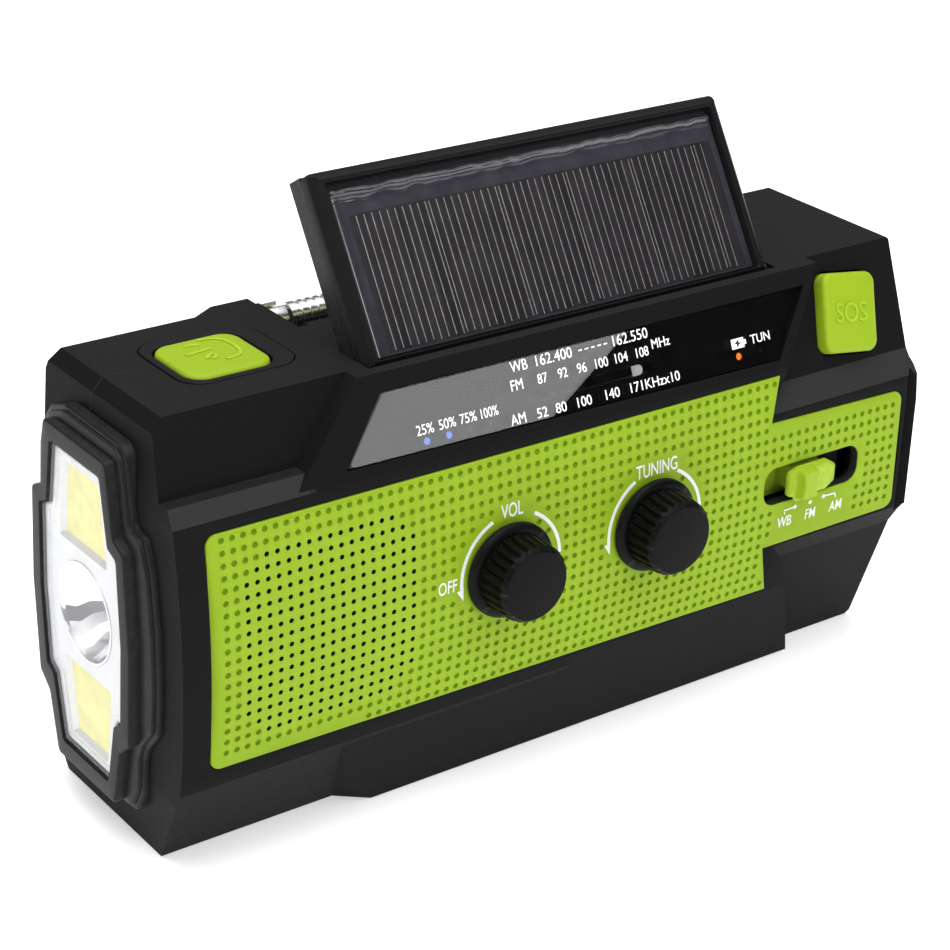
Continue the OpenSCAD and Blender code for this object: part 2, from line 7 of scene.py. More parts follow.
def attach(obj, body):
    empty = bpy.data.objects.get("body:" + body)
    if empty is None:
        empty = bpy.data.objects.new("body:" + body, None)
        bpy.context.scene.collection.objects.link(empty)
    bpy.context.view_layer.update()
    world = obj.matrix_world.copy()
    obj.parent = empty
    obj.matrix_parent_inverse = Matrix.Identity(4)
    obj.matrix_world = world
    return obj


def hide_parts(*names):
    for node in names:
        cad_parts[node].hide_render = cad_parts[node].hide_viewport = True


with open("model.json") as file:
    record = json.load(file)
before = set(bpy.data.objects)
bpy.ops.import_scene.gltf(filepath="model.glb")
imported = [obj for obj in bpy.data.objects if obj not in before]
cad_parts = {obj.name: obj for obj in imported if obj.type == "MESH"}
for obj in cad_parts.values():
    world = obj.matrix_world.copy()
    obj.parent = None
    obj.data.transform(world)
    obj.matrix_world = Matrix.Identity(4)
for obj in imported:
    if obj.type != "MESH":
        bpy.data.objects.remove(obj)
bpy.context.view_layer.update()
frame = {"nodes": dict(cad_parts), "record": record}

rng = random.Random(7)
MM = 0.001
NODES = frame["nodes"]

# ------------------------------------------------------------------ dimensions (mm, same frame as the part)
XL, XR, YPART = -76.9, 75.6, 1.9
FRONT_Y, BOW_R, BOW_Z = -26.6, 137.0, 37.5
VOL_X, TUN_X, KNOB_Z = -15.6, 14.4, 40.1
ARC_VX, ARC_TX, ARC_Z = -14.9, 15.0, 39.7
LEAN, LID_LEN, LID_TH = 32.5, 31.2, 6.6
PY, PZ = -13.59, 74.55
LX0, LX1 = -35.7, 47.3
LAMP_Y, LAMP_Z = -0.3, 37.9
DIAL_A = math.atan2(6.05, 14.6)
SH_A = math.atan2(7.2, 18.6)
PITCH, ROW = 1.88, 1.88 * 1.0616


def ysurf(z):
    return FRONT_Y + BOW_R - math.sqrt(BOW_R ** 2 - (z - BOW_Z) ** 2)


def rotx(y, z, phi):
    return y * math.cos(phi) - z * math.sin(phi), y * math.sin(phi) + z * math.cos(phi)


def on_front(x, z, h=0.0):
    return (x, ysurf(z) - h, z)


def on_dial(x, y, h=0.0):
    a, b = rotx(y, h, math.pi / 2 - DIAL_A)
    return (x, a - 24.55, b + 61.0)


def on_shoulder(x, y, h=0.0):
    a, b = rotx(y, h, math.pi / 2 - SH_A)
    return (x + 63.1, a - 19.4, b + 65.5)


def on_sos(x, y, h=0.0):
    c, s = math.cos(math.radians(-8)), math.sin(math.radians(-8))
    return on_shoulder(x * c - y * s - 1.3, x * s + y * c - 0.2, h)


def on_lid(x, s, h=0.0):
    a, b = rotx(s - 0.2, h + 2.2, math.radians(90 - LEAN))
    return (x, a + PY, b + PZ)


def on_top(x, y, h=0.0):
    return (x, y, h)


def on_end(y, z, h=0.0):           # h grows outwards, towards -X, from the left end plane
    return (XL - h, y + LAMP_Y, z + LAMP_Z)


def on_back(x, z, h=0.0):
    return (x, 25.4 + h, z)


# ------------------------------------------------------------------ material helpers
class Net:
    def __init__(self, name):
        self.m = bpy.data.materials.new(name)
        self.m.use_nodes = True
        self.t = self.m.node_tree
        self.t.nodes.clear()
        self.out = self.n("ShaderNodeOutputMaterial")
        self.b = self.n("ShaderNodeBsdfPrincipled")
        self.l(self.b, "BSDF", self.out, "Surface")
        self.pos = self.n("ShaderNodeTexCoord")

    def n(self, kind, **kw):
        node = self.t.nodes.new(kind)
        for k, v in kw.items():
            setattr(node, k, v)
        return node

    def l(self, a, ao, b, bi):
        self.t.links.new(a.outputs[ao], b.inputs[bi])

    def set(self, **kw):
        for k, v in kw.items():
            self.b.inputs[k.replace("_", " ")].default_value = v

    def noise(self, scale, detail=3.0, rough=0.55):
        n = self.n("ShaderNodeTexNoise")
        n.inputs["Scale"].default_value = scale
        n.inputs["Detail"].default_value = detail
        n.inputs["Roughness"].default_value = rough
        self.l(self.pos, "Object", n, "Vector")
        return n

    def ramp(self, src, out, p0, p1, c0, c1):
        r = self.n("ShaderNodeValToRGB")
        r.color_ramp.elements[0].position = p0
        r.color_ramp.elements[1].position = p1
        r.color_ramp.elements[0].color = c0
        r.color_ramp.elements[1].color = c1
        self.l(src, out, r, "Fac")
        return r

    def rangev(self, src, out, a, b, c, d):
        r = self.n("ShaderNodeMapRange")
        r.inputs["From Min"].default_value = a
        r.inputs["From Max"].default_value = b
        r.inputs["To Min"].default_value = c
        r.inputs["To Max"].default_value = d
        self.l(src, out, r, "Value")
        return r

    def bump(self, src, out, strength, dist=0.0001, prev=None):
        b = self.n("ShaderNodeBump")
        b.inputs["Strength"].default_value = strength
        b.inputs["Distance"].default_value = dist
        self.l(src, out, b, "Height")
        if prev is not None:
            self.l(prev, "Normal", b, "Normal")
        return b


def rgb(*c):
    return (c[0], c[1], c[2], 1.0)


def moulded(name, col, vary, rough, texture_scale, bump_strength, edge_wear_highlight=None, spec=0.5, rough_vary=0.06, coat=0.0, painted_light_tint=None):
    """Moulded plastic: spark-eroded texture, faint blotches, convex edges lighter as edge wear and painted highlight,
    optional painted highlight on faces towards the front and top.
    """
    k = Net(name)
    big = k.noise(55, 2.0)
    lo = rgb(*[max(0.0, c * (1 - vary)) for c in col])
    hi = rgb(*[min(1.0, c * (1 + vary)) for c in col])
    base = k.ramp(big, "Fac", 0.35, 0.65, lo, hi)
    fine = k.noise(texture_scale, 2.0, 0.6)
    if painted_light_tint is not None:
        # painted highlight: faces that lean back at about 38 degrees towards the front (left of X -51 mm, right of X 39
        # mm or above Z 67 mm), and top faces, get a lighter base colour standing in for light from the front and above
        g2 = k.n("ShaderNodeNewGeometry")
        sep = k.n("ShaderNodeSeparateXYZ")
        k.l(g2, "Normal", sep, "Vector")
        up1 = k.rangev(sep, "Z", 0.50, 0.57, 0.0, 1.0)
        up2 = k.rangev(sep, "Z", 0.66, 0.76, 1.0, 0.0)
        fr = k.rangev(sep, "Y", -0.45, -0.6, 0.0, 1.0)
        m1 = k.n("ShaderNodeMath", operation="MULTIPLY")
        k.l(up1, "Result", m1, 0)
        k.l(up2, "Result", m1, 1)
        m2 = k.n("ShaderNodeMath", operation="MULTIPLY")
        k.l(m1, "Value", m2, 0)
        k.l(fr, "Result", m2, 1)
        where = k.n("ShaderNodeSeparateXYZ")
        k.l(k.pos, "Object", where, "Vector")
        wl = k.rangev(where, "X", -0.052, -0.050, 1.0, 0.0)
        wr = k.rangev(where, "X", 0.038, 0.040, 0.0, 1.0)
        wz = k.rangev(where, "Z", 0.066, 0.068, 0.0, 1.0)
        w1 = k.n("ShaderNodeMath", operation="MAXIMUM")
        k.l(wl, "Result", w1, 0)
        k.l(wr, "Result", w1, 1)
        w2_ = k.n("ShaderNodeMath", operation="MAXIMUM")
        k.l(w1, "Value", w2_, 0)
        k.l(wz, "Result", w2_, 1)
        m4 = k.n("ShaderNodeMath", operation="MULTIPLY")
        k.l(m2, "Value", m4, 0)
        k.l(w2_, "Value", m4, 1)
        top = k.rangev(sep, "Z", 0.90, 0.98, 0.0, 0.32)
        m3 = k.n("ShaderNodeMath", operation="ADD")
        k.l(m4, "Value", m3, 0)
        k.l(top, "Result", m3, 1)
        add = k.n("ShaderNodeVectorMath", operation="SCALE")
        add.inputs[0].default_value = painted_light_tint
        k.l(m3, "Value", add, "Scale")
        tot = k.n("ShaderNodeVectorMath", operation="ADD")
        k.l(base, "Color", tot, 0)
        k.l(add, "Vector", tot, 1)
        k.l(tot, "Vector", k.b, "Base Color")
    elif edge_wear_highlight is not None:
        # convex edges, speckled by noise, blend to a lighter colour: partly edge wear, partly painted highlight
        geo = k.n("ShaderNodeNewGeometry")
        edge_wear_highlight_mask = k.rangev(geo, "Pointiness", 0.52, 0.62, 0.0, 1.0)
        spots = k.noise(900, 2.0)
        mul = k.n("ShaderNodeMath", operation="MULTIPLY")
        k.l(edge_wear_highlight_mask, "Result", mul, 0)
        k.l(spots, "Fac", mul, 1)
        mix = k.n("ShaderNodeMix", data_type="RGBA")
        mix.inputs["B"].default_value = rgb(*edge_wear_highlight)
        k.t.links.new(mul.outputs[0], mix.inputs["Factor"])
        k.t.links.new(base.outputs["Color"], mix.inputs["A"])
        k.t.links.new(mix.outputs["Result"], k.b.inputs["Base Color"])
    else:
        k.l(base, "Color", k.b, "Base Color")
    rv = k.rangev(fine, "Fac", 0.3, 0.7, rough - rough_vary, rough + rough_vary)
    k.l(rv, "Result", k.b, "Roughness")
    bp = k.bump(fine, "Fac", bump_strength, 0.00012)
    k.l(bp, "Normal", k.b, "Normal")
    k.set(Specular_IOR_Level=spec, Coat_Weight=coat, Coat_Roughness=0.1)
    return k.m


def metal(name, col, rough, stretch=(1, 1, 1), scale=900, strength=0.08):
    k = Net(name)
    mp = k.n("ShaderNodeMapping")
    mp.inputs["Scale"].default_value = stretch
    k.l(k.pos, "Object", mp, "Vector")
    n = k.n("ShaderNodeTexNoise")
    n.inputs["Scale"].default_value = scale
    n.inputs["Detail"].default_value = 3
    k.l(mp, "Vector", n, "Vector")
    c = k.ramp(n, "Fac", 0.3, 0.7, rgb(*[x * 0.92 for x in col]), rgb(*[min(1, x * 1.05) for x in col]))
    k.l(c, "Color", k.b, "Base Color")
    r = k.rangev(n, "Fac", 0.3, 0.7, max(0.02, rough - 0.05), rough + 0.07)
    k.l(r, "Result", k.b, "Roughness")
    k.l(k.bump(n, "Fac", strength, 0.00005), "Normal", k.b, "Normal")
    k.set(Metallic=1.0)
    return k.m


def ink(name, col, rough=0.45, emit=0.0):
    k = Net(name)
    n = k.noise(2500, 2.0)
    c = k.ramp(n, "Fac", 0.3, 0.7, rgb(*[x * 0.93 for x in col]), rgb(*[min(1, x * 1.04) for x in col]))
    k.l(c, "Color", k.b, "Base Color")
    r = k.rangev(n, "Fac", 0.3, 0.7, rough - 0.05, rough + 0.08)
    k.l(r, "Result", k.b, "Roughness")
    k.l(k.bump(n, "Fac", 0.1, 0.00003), "Normal", k.b, "Normal")
    if emit:
        k.b.inputs["Emission Color"].default_value = rgb(*col)
        k.b.inputs["Emission Strength"].default_value = emit
    return k.m


# case black with painted highlight: the last argument lightens the front-top facing bevel strips and the top faces
BLACK = moulded("mat_case_black", (0.0088, 0.0088, 0.0093), 0.02, 0.50, 2600, 0.20, spec=0.045, painted_light_tint=(0.025, 0.025, 0.026))
BLACK2 = moulded("mat_bezel_black", (0.0095, 0.0095, 0.0102), 0.03, 0.36, 3000, 0.12, edge_wear_highlight=(0.05, 0.05, 0.053), spec=0.12)
KNOB = moulded("mat_knob_black", (0.0028, 0.0028, 0.0031), 0.06, 0.36, 3200, 0.08, edge_wear_highlight=(0.04, 0.04, 0.043), spec=0.08)
LIME = moulded("mat_lime", (0.275, 0.430, 0.012), 0.03, 0.55, 2800, 0.22, edge_wear_highlight=(0.40, 0.60, 0.04), spec=0.18)
LIME_KEY = moulded("mat_lime_key", (0.320, 0.470, 0.014), 0.03, 0.42, 3200, 0.12, edge_wear_highlight=(0.46, 0.68, 0.05), spec=0.25)
# darker lime for the faces of the dimple cups: painted shade in the recesses
LIME_PAINTED_SHADE = moulded("mat_lime_painted_shade", (0.195, 0.335, 0.008), 0.03, 0.6, 2800, 0.15, spec=0.1)
DARK = moulded("mat_inner_dark", (0.008, 0.008, 0.008), 0.1, 0.7, 2000, 0.1)
SWITCH = moulded("mat_switch_black", (0.03, 0.03, 0.03), 0.1, 0.5, 2000, 0.1)
RUBBER = moulded("mat_rubber", (0.022, 0.022, 0.023), 0.12, 0.72, 1800, 0.35, spec=0.3)
NYLON = moulded("mat_nylon", (0.72, 0.70, 0.62), 0.05, 0.45, 1500, 0.08)
BOARD = moulded("mat_board", (0.02, 0.16, 0.06), 0.12, 0.3, 1200, 0.1, spec=0.5)
WRAP = moulded("mat_cell_wrap", (0.06, 0.22, 0.5), 0.08, 0.28, 900, 0.06)
FERRITE = moulded("mat_ferrite", (0.05, 0.05, 0.052), 0.2, 0.6, 1500, 0.3)
CHROME = metal("mat_chrome", (0.90, 0.90, 0.92), 0.22, (6, 1, 1), 500, 0.04)
STEEL = metal("mat_steel", (0.30, 0.30, 0.32), 0.34, (1, 8, 1), 700, 0.12)
ZINC = metal("mat_zinc", (0.30, 0.30, 0.32), 0.42, (1, 1, 1), 500, 0.1)
COPPER = metal("mat_copper", (0.7, 0.33, 0.14), 0.35, (30, 1, 1), 400, 0.5)
WHITE_INK = ink("mat_white_print", (0.90, 0.91, 0.90), 0.5)
DIAL_INK = ink("mat_dial_print", (0.95, 0.95, 0.95), 0.5, 0.45)
# white marks with emission 1.1: painted glow, so they read brighter than lit white
WHITE_MARK_PAINTED_GLOW = ink("mat_white_mark_painted_glow", (0.95, 0.95, 0.95), 0.35, 1.1)
BLUE = ink("mat_led_blue", (0.16, 0.32, 1.0), 0.25, 2.2)
GREYLED = ink("mat_led_off", (0.22, 0.23, 0.25), 0.3)
ORANGE = ink("mat_led_orange", (1.0, 0.20, 0.02), 0.25, 4.0)
GREY_SLOT = ink("mat_scale_slot", (0.16, 0.165, 0.175), 0.4)
DARKRED = ink("mat_led_dark", (0.05, 0.03, 0.03), 0.3)


def window_mat():
    k = Net("mat_dial_window")
    n = k.noise(300, 2.0)
    c = k.ramp(n, "Fac", 0.3, 0.7, rgb(0.0, 0.0, 0.0), rgb(0.004, 0.004, 0.005))
    k.l(c, "Color", k.b, "Base Color")
    r = k.rangev(n, "Fac", 0.3, 0.7, 0.004, 0.01)
    k.l(r, "Result", k.b, "Roughness")
    k.set(Alpha=0.45, Coat_Weight=1.0, Coat_Roughness=0.004)
    return k.m


def plate_mat():
    k = Net("mat_dial_plate")
    n = k.noise(1800, 2.0)
    c = k.ramp(n, "Fac", 0.3, 0.7, rgb(0.004, 0.004, 0.0045), rgb(0.007, 0.007, 0.008))
    k.l(c, "Color", k.b, "Base Color")
    r = k.rangev(n, "Fac", 0.3, 0.7, 0.35, 0.5)
    k.l(r, "Result", k.b, "Roughness")
    k.l(k.bump(n, "Fac", 0.08, 0.00004), "Normal", k.b, "Normal")
    k.set(Specular_IOR_Level=0.2)
    return k.m


def lens_mat():
    k = Net("mat_lens_clear")
    n = k.noise(220, 2.0)
    c = k.ramp(n, "Fac", 0.3, 0.7, rgb(0.90, 0.92, 0.95), rgb(0.96, 0.97, 1.0))
    k.l(c, "Color", k.b, "Base Color")
    r = k.rangev(n, "Fac", 0.3, 0.7, 0.02, 0.06)
    k.l(r, "Result", k.b, "Roughness")
    k.l(k.bump(n, "Fac", 0.04, 0.0002), "Normal", k.b, "Normal")
    k.set(Alpha=0.10, Coat_Weight=1.0, Coat_Roughness=0.02)
    return k.m


def reflector_mat():
    k = Net("mat_reflector")
    n = k.noise(400, 3.0)
    c = k.ramp(n, "Fac", 0.3, 0.7, rgb(0.74, 0.75, 0.77), rgb(0.82, 0.82, 0.84))
    k.l(c, "Color", k.b, "Base Color")
    r = k.rangev(n, "Fac", 0.3, 0.7, 0.12, 0.26)
    k.l(r, "Result", k.b, "Roughness")
    k.l(k.bump(n, "Fac", 0.06, 0.0001), "Normal", k.b, "Normal")
    k.set(Metallic=0.25)
    return k.m


def phosphor_mat(name, col, emit):
    k = Net(name)
    v = k.n("ShaderNodeTexVoronoi")
    v.inputs["Scale"].default_value = 420
    k.l(k.pos, "Object", v, "Vector")
    c = k.ramp(v, "Distance", 0.1, 0.75, rgb(*[x * 0.86 for x in col]), rgb(*col))
    k.l(c, "Color", k.b, "Base Color")
    k.l(c, "Color", k.b, "Emission Color")
    n = k.noise(1500)
    r = k.rangev(n, "Fac", 0.3, 0.7, 0.35, 0.5)
    k.l(r, "Result", k.b, "Roughness")
    k.l(k.bump(v, "Distance", 0.2, 0.0001), "Normal", k.b, "Normal")
    k.b.inputs["Emission Strength"].default_value = emit
    return k.m


def cell_mat():
    """Dark amorphous cell seen through a thin resin layer, with faint vertical streaks."""
    k = Net("mat_solar_cell")
    mp = k.n("ShaderNodeMapping")
    mp.inputs["Scale"].default_value = (900, 40, 40)
    k.l(k.pos, "Object", mp, "Vector")
    n = k.n("ShaderNodeTexNoise")
    n.inputs["Scale"].default_value = 1.0
    n.inputs["Detail"].default_value = 2
    k.l(mp, "Vector", n, "Vector")
    c = k.ramp(n, "Fac", 0.3, 0.7, rgb(0.012, 0.0105, 0.013), rgb(0.026, 0.023, 0.028))
    k.l(c, "Color", k.b, "Base Color")
    m = k.noise(160, 2.0)
    r = k.rangev(m, "Fac", 0.3, 0.7, 0.16, 0.3)
    k.l(r, "Result", k.b, "Roughness")
    k.l(k.bump(m, "Fac", 0.06, 0.0004), "Normal", k.b, "Normal")
    k.set(Coat_Weight=0.6, Coat_Roughness=0.06)
    return k.m


def film_mat():
    k = Net("mat_film")
    m = k.noise(240, 3.0)
    c = k.ramp(m, "Fac", 0.3, 0.7, rgb(0.030, 0.028, 0.036), rgb(0.045, 0.042, 0.054))
    k.l(c, "Color", k.b, "Base Color")
    r = k.rangev(m, "Fac", 0.3, 0.7, 0.05, 0.16)
    k.l(r, "Result", k.b, "Roughness")
    k.l(k.bump(m, "Fac", 0.2, 0.0005), "Normal", k.b, "Normal")
    k.set(Coat_Weight=1.0, Coat_Roughness=0.05)
    return k.m


WINDOW, PLATE, LENS, REFLECT = window_mat(), plate_mat(), lens_mat(), reflector_mat()
YELLOW = phosphor_mat("mat_phosphor", (0.88, 0.84, 0.30), 0.12)
WARM = phosphor_mat("mat_spot_led", (0.95, 0.93, 0.72), 0.3)
CELL, FILM = cell_mat(), film_mat()
GRIDLINE = metal("mat_grid_line", (0.78, 0.76, 0.70), 0.35, (1, 1, 1), 1500, 0.05)

# ------------------------------------------------------------------ mesh helpers


def make(name, verts, faces, mat, body, nodes=(), sharp=30.0, smooth=True, bevel=None, mats=None):
    me = bpy.data.meshes.new(name)
    me.from_pydata([(v[0] * MM, v[1] * MM, v[2] * MM) for v in verts], [], faces)
    if mats:
        me.polygons.foreach_set("material_index", mats)
    bm = bmesh.new()
    bm.from_mesh(me)
    bmesh.ops.remove_doubles(bm, verts=bm.verts, dist=1e-7)
    bmesh.ops.recalc_face_normals(bm, faces=bm.faces)
    bm.to_mesh(me)
    bm.free()
    o = bpy.data.objects.new(name, me)
    bpy.context.scene.collection.objects.link(o)
    if isinstance(mat, (list, tuple)):
        for m in mat:
            me.materials.append(m)
    else:
        me.materials.append(mat)
    if bevel:
        add_bevel(o, *bevel)
    if smooth:
        shade(o, sharp)
    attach(o, body)
    if nodes:
        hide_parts(*nodes)
    return o


def shade(o, angle=30.0):
    me = o.data
    me.polygons.foreach_set("use_smooth", [True] * len(me.polygons))
    bm = bmesh.new()
    bm.from_mesh(me)
    lim = math.radians(angle)
    for e in bm.edges:
        e.smooth = not (len(e.link_faces) != 2 or e.calc_face_angle(0) > lim)
    bm.to_mesh(me)
    bm.free()


def add_bevel(o, width, segments=2, angle=25.0):
    b = o.modifiers.new("bevel", "BEVEL")
    b.width = width * MM
    b.segments = segments
    b.limit_method = "ANGLE"
    b.angle_limit = math.radians(angle)
    b.use_clamp_overlap = True
    b.harden_normals = True
    return b


def arc(cx, cz, r, a0, a1, n=8):
    return [(cx + r * math.cos(math.radians(a0 + (a1 - a0) * i / n)),
             cz + r * math.sin(math.radians(a0 + (a1 - a0) * i / n))) for i in range(n + 1)]


def rrect(x0, z0, x1, z1, r, n=7):
    return (arc(x1 - r, z0 + r, r, -90, 0, n) + arc(x1 - r, z1 - r, r, 0, 90, n)
            + arc(x0 + r, z1 - r, r, 90, 180, n) + arc(x0 + r, z0 + r, r, 180, 270, n))


def round_poly(pts, r, n=5):
    """Polygon with each corner rounded to radius r (or a radius per corner)."""
    out = []
    m = len(pts)
    for i in range(m):
        p0, p1, p2 = Vector(pts[i - 1]), Vector(pts[i]), Vector(pts[(i + 1) % m])
        ri = r[i] if isinstance(r, (list, tuple)) else r
        a, b = (p0 - p1), (p2 - p1)
        la, lb = a.length, b.length
        a.normalize(); b.normalize()
        cosv = max(-1, min(1, a.dot(b)))
        ang = math.acos(cosv)
        if ri <= 0 or ang > math.radians(177):
            out.append(tuple(p1)); continue
        t = min(ri / math.tan(ang / 2), 0.45 * la, 0.45 * lb)
        rr = t * math.tan(ang / 2)
        bis = (a + b).normalized()
        c = p1 + bis * (rr / math.sin(ang / 2))
        s, e = p1 + a * t, p1 + b * t
        a0 = math.atan2(s.y - c.y, s.x - c.x)
        a1 = math.atan2(e.y - c.y, e.x - c.x)
        d = (a1 - a0 + math.pi) % (2 * math.pi) - math.pi
        for k in range(n + 1):
            th = a0 + d * k / n
            out.append((c.x + rr * math.cos(th), c.y + rr * math.sin(th)))
    return out


def area2(p):
    return sum(p[i - 1][0] * p[i][1] - p[i][0] * p[i - 1][1] for i in range(len(p)))


def ccw(p):
    return list(p) if area2(p) > 0 else list(reversed(p))


def inset(p, d):
    """Mitred inset of a counter-clockwise outline; a negative d grows it."""
    out = []
    m = len(p)
    for i in range(m):
        a, b, c = Vector(p[i - 1]), Vector(p[i]), Vector(p[(i + 1) % m])
        u, v = (b - a), (c - b)
        if u.length < 1e-9: u = v.copy()
        if v.length < 1e-9: v = u.copy()
        u.normalize(); v.normalize()
        nu, nv = Vector((-u.y, u.x)), Vector((-v.y, v.x))
        s = nu + nv
        k = s.length_squared
        s = s * (2.0 / k) if k > 0.3 else nu
        out.append((b.x + s.x * d, b.y + s.y * d))
    return out


def loft(outline, levels, place, close_first=True, close_last=True):
    """Rings of an outline at (inset, height) levels, joined by walls. Returns verts, faces."""
    p = ccw(outline)
    n = len(p)
    verts, faces = [], []
    for d, h in levels:
        q = inset(p, d) if d else p
        verts += [place(a, b, h) for a, b in q]
    for k in range(len(levels) - 1):
        for i in range(n):
            j = (i + 1) % n
            faces.append((k * n + i, k * n + j, (k + 1) * n + j, (k + 1) * n + i))
    if close_first:
        faces.append(tuple(reversed(range(n))))
    if close_last:
        faces.append(tuple((len(levels) - 1) * n + i for i in range(n)))
    return verts, faces


def join(*parts):
    V, F = [], []
    for v, f in parts:
        k = len(V)
        V += v
        F += [tuple(i + k for i in q) for q in f]
    return V, F


def cdt(loops, extra=(), holes=()):
    """Triangulated region inside loops[0], outside the rest. Returns 2-D points and triangles."""
    pts, edges = [], []
    for lp in loops:
        k = len(pts)
        pts += [Vector(q) for q in lp]
        edges += [(k + i, k + (i + 1) % len(lp)) for i in range(len(lp))]
    pts += [Vector(q) for q in extra]
    v, e, f, *_ = delaunay_2d_cdt(pts, edges, [], 0, 1e-5)
    outer, inner = loops[0], loops[1:]
    boxes = [(min(q[0] for q in lp), max(q[0] for q in lp), min(q[1] for q in lp), max(q[1] for q in lp), lp) for lp in inner]
    out = []
    for t in f:
        c = (v[t[0]] + v[t[1]] + v[t[2]]) / 3
        if not inside(c, outer):
            continue
        if any(b[0] < c.x < b[1] and b[2] < c.y < b[3] and inside(c, b[4]) for b in boxes):
            continue
        out.append(tuple(t))
    return [(q.x, q.y) for q in v], out


def inside(c, lp):
    x, y = c[0], c[1]
    r = False
    j = len(lp) - 1
    for i in range(len(lp)):
        xi, yi = lp[i][0], lp[i][1]
        xj, yj = lp[j][0], lp[j][1]
        if (yi > y) != (yj > y) and x < (xj - xi) * (y - yi) / (yj - yi) + xi:
            r = not r
        j = i
    return r


def text_geo(s, size, cx, cz, place, h0=0.02, h1=0.07, sx=0.85, align="CENTER", shear=0.0, rot=0.0, bold=0.0):
    """Lettering as thin raised geometry, centred at (cx, cz) on a surface."""
    cu = bpy.data.curves.new("t", "FONT")
    cu.body = s
    cu.size = size
    cu.align_x = align
    cu.align_y = "CENTER"
    cu.resolution_u = 4
    cu.offset = bold
    cu.extrude = 0.5
    ob = bpy.data.objects.new("t", cu)
    bpy.context.scene.collection.objects.link(ob)
    bpy.context.view_layer.update()
    me = bpy.data.meshes.new_from_object(ob.evaluated_get(bpy.context.evaluated_depsgraph_get()))
    cr, sr = math.cos(rot), math.sin(rot)
    verts, faces = [], []
    for v in me.vertices:
        x, z = v.co.x * sx + v.co.y * shear, v.co.y
        x, z = x * cr - z * sr, x * sr + z * cr
        verts.append(place(cx + x, cz + z, h1 if v.co.z > 0 else h0))
    for p in me.polygons:
        faces.append(tuple(p.vertices))
    bpy.data.objects.remove(ob)
    bpy.data.curves.remove(cu)
    bpy.data.meshes.remove(me)
    return verts, faces


def strip_geo(pts, w, place, h0=0.02, h1=0.07, closed=False):
    """A printed line of width w along 2-D points."""
    n = len(pts)
    L, R = [], []
    for i in range(n):
        a = Vector(pts[max(i - 1, 0)]); b = Vector(pts[min(i + 1, n - 1)])
        d = (b - a).normalized()
        q = Vector(pts[i])
        L.append((q.x - d.y * w / 2, q.y + d.x * w / 2))
        R.append((q.x + d.y * w / 2, q.y - d.x * w / 2))
    loop = L + R[::-1]
    verts = [place(x, z, h1) for x, z in loop] + [place(x, z, h0) for x, z in loop]
    m = len(loop)
    faces = []
    for i in range(n - 1):
        faces.append((i, i + 1, m - 2 - i, m - 1 - i))
        faces.append((m + i + 1, m + i, 2 * m - 1 - i, 2 * m - 2 - i))
    for i in range(m):
        j = (i + 1) % m
        faces.append((i, m + i, m + j, j))
    return verts, faces


def poly_geo(pts, place, h0=0.02, h1=0.07):
    return loft(pts, [(0, h0), (0, h1)], place)


def disc(cx, cz, r, n=20):
    return [(cx + r * math.cos(2 * math.pi * i / n), cz + r * math.sin(2 * math.pi * i / n)) for i in range(n)]


# ------------------------------------------------------------------ case shells: CAD shape with softened edges
def soften(node, width, segments=3, angle=18.0):
    o = NODES[node]
    d = o.modifiers.new("merge", "DECIMATE")
    d.decimate_type = "DISSOLVE"
    d.angle_limit = math.radians(0.6)
    w = o.modifiers.new("weld", "WELD")
    w.merge_threshold = 1e-6
    add_bevel(o, width, segments, angle)
    return o


slot_mats = {
    "case_black": BLACK, "bezel_black": BLACK2, "knob_black": KNOB, "lime": LIME_KEY, "window": WINDOW, "dial_print": PLATE,
    "white_mark": WHITE_MARK_PAINTED_GLOW, "led_blue": BLUE, "led_orange": ORANGE, "lens_clear": LENS, "reflector_white": REFLECT,
    "light_yellow": YELLOW, "cell_dark": CELL, "chrome": CHROME, "steel": STEEL, "zinc": ZINC, "switch_black": SWITCH,
    "nylon": NYLON, "board": BOARD, "cell_wrap": WRAP, "rubber": RUBBER, "ferrite": FERRITE, "copper": COPPER,
}
slots = {s["node"]: s["material_slot"] for s in frame["record"]["subparts"]}
for name, o in NODES.items():
    o.data.materials.clear()
    o.data.materials.append(slot_mats[slots[name]])

for n in ("front_shell", "rear_shell"):
    soften(n, 0.45, 3, 12.0)
for n in ("battery_door", "crank_arm", "port_cover"):
    soften(n, 0.3, 2, 25.0)
for n in ("antenna_swivel", "antenna_tip", "crank_spindle"):
    soften(n, 0.15, 2, 30.0)

# ------------------------------------------------------------------ face panel with real dimples and speaker holes
def panel_outline(d=0.15):
    return (arc(-68.5 + d, 57.8 - d, 1.9, 180, 90) + [(42.9 - d, 59.7 - d), (41.0 - d, 51.6 - d)]
            + arc(70 - d, 49.0 - d, 1.9, 88, 0) + arc(70 - d, 29.7 + d, 1.9, 0, -90)
            + [(41.0 - d, 27.6 + d), (43.2 - d, 18.6 + d)] + arc(-68.5 + d, 21.5 + d, 1.9, -91, -180))


SLOT = rrect(39.7, 36.0, 61.8, 43.0, 2.6)
ARC_R = 9.8


def blocked(x, z):
    for kx, ax in ((VOL_X, ARC_VX), (TUN_X, ARC_TX)):
        if math.hypot(x - kx, z - KNOB_Z) < 8.7:
            return True
        r = math.hypot(x - ax, z - ARC_Z)
        a = math.degrees(math.atan2(z - ARC_Z, x - ax)) % 360
        if abs(r - ARC_R) < 0.95 and (a < 66 or 108 < a < 200):
            return True
    boxes = [(-18.6, -11.2, 47.6, 52.0), (9.4, 20.8, 47.6, 52.0), (-29.8, -23.8, 37.6, 41.6),
             (38.4, 63.2, 34.6, 44.4), (42.6, 60.6, 30.0, 35.2)]
    return any(b[0] < x < b[1] and b[2] < z < b[3] for b in boxes)


def is_speaker(i, j):
    if not (3 <= i <= 19 and 2 <= j <= 17):
        return False
    cut = {2: 2, 3: 1, 16: 1, 17: 2}.get(j, 0)
    return 3 + cut <= i <= 19 - cut


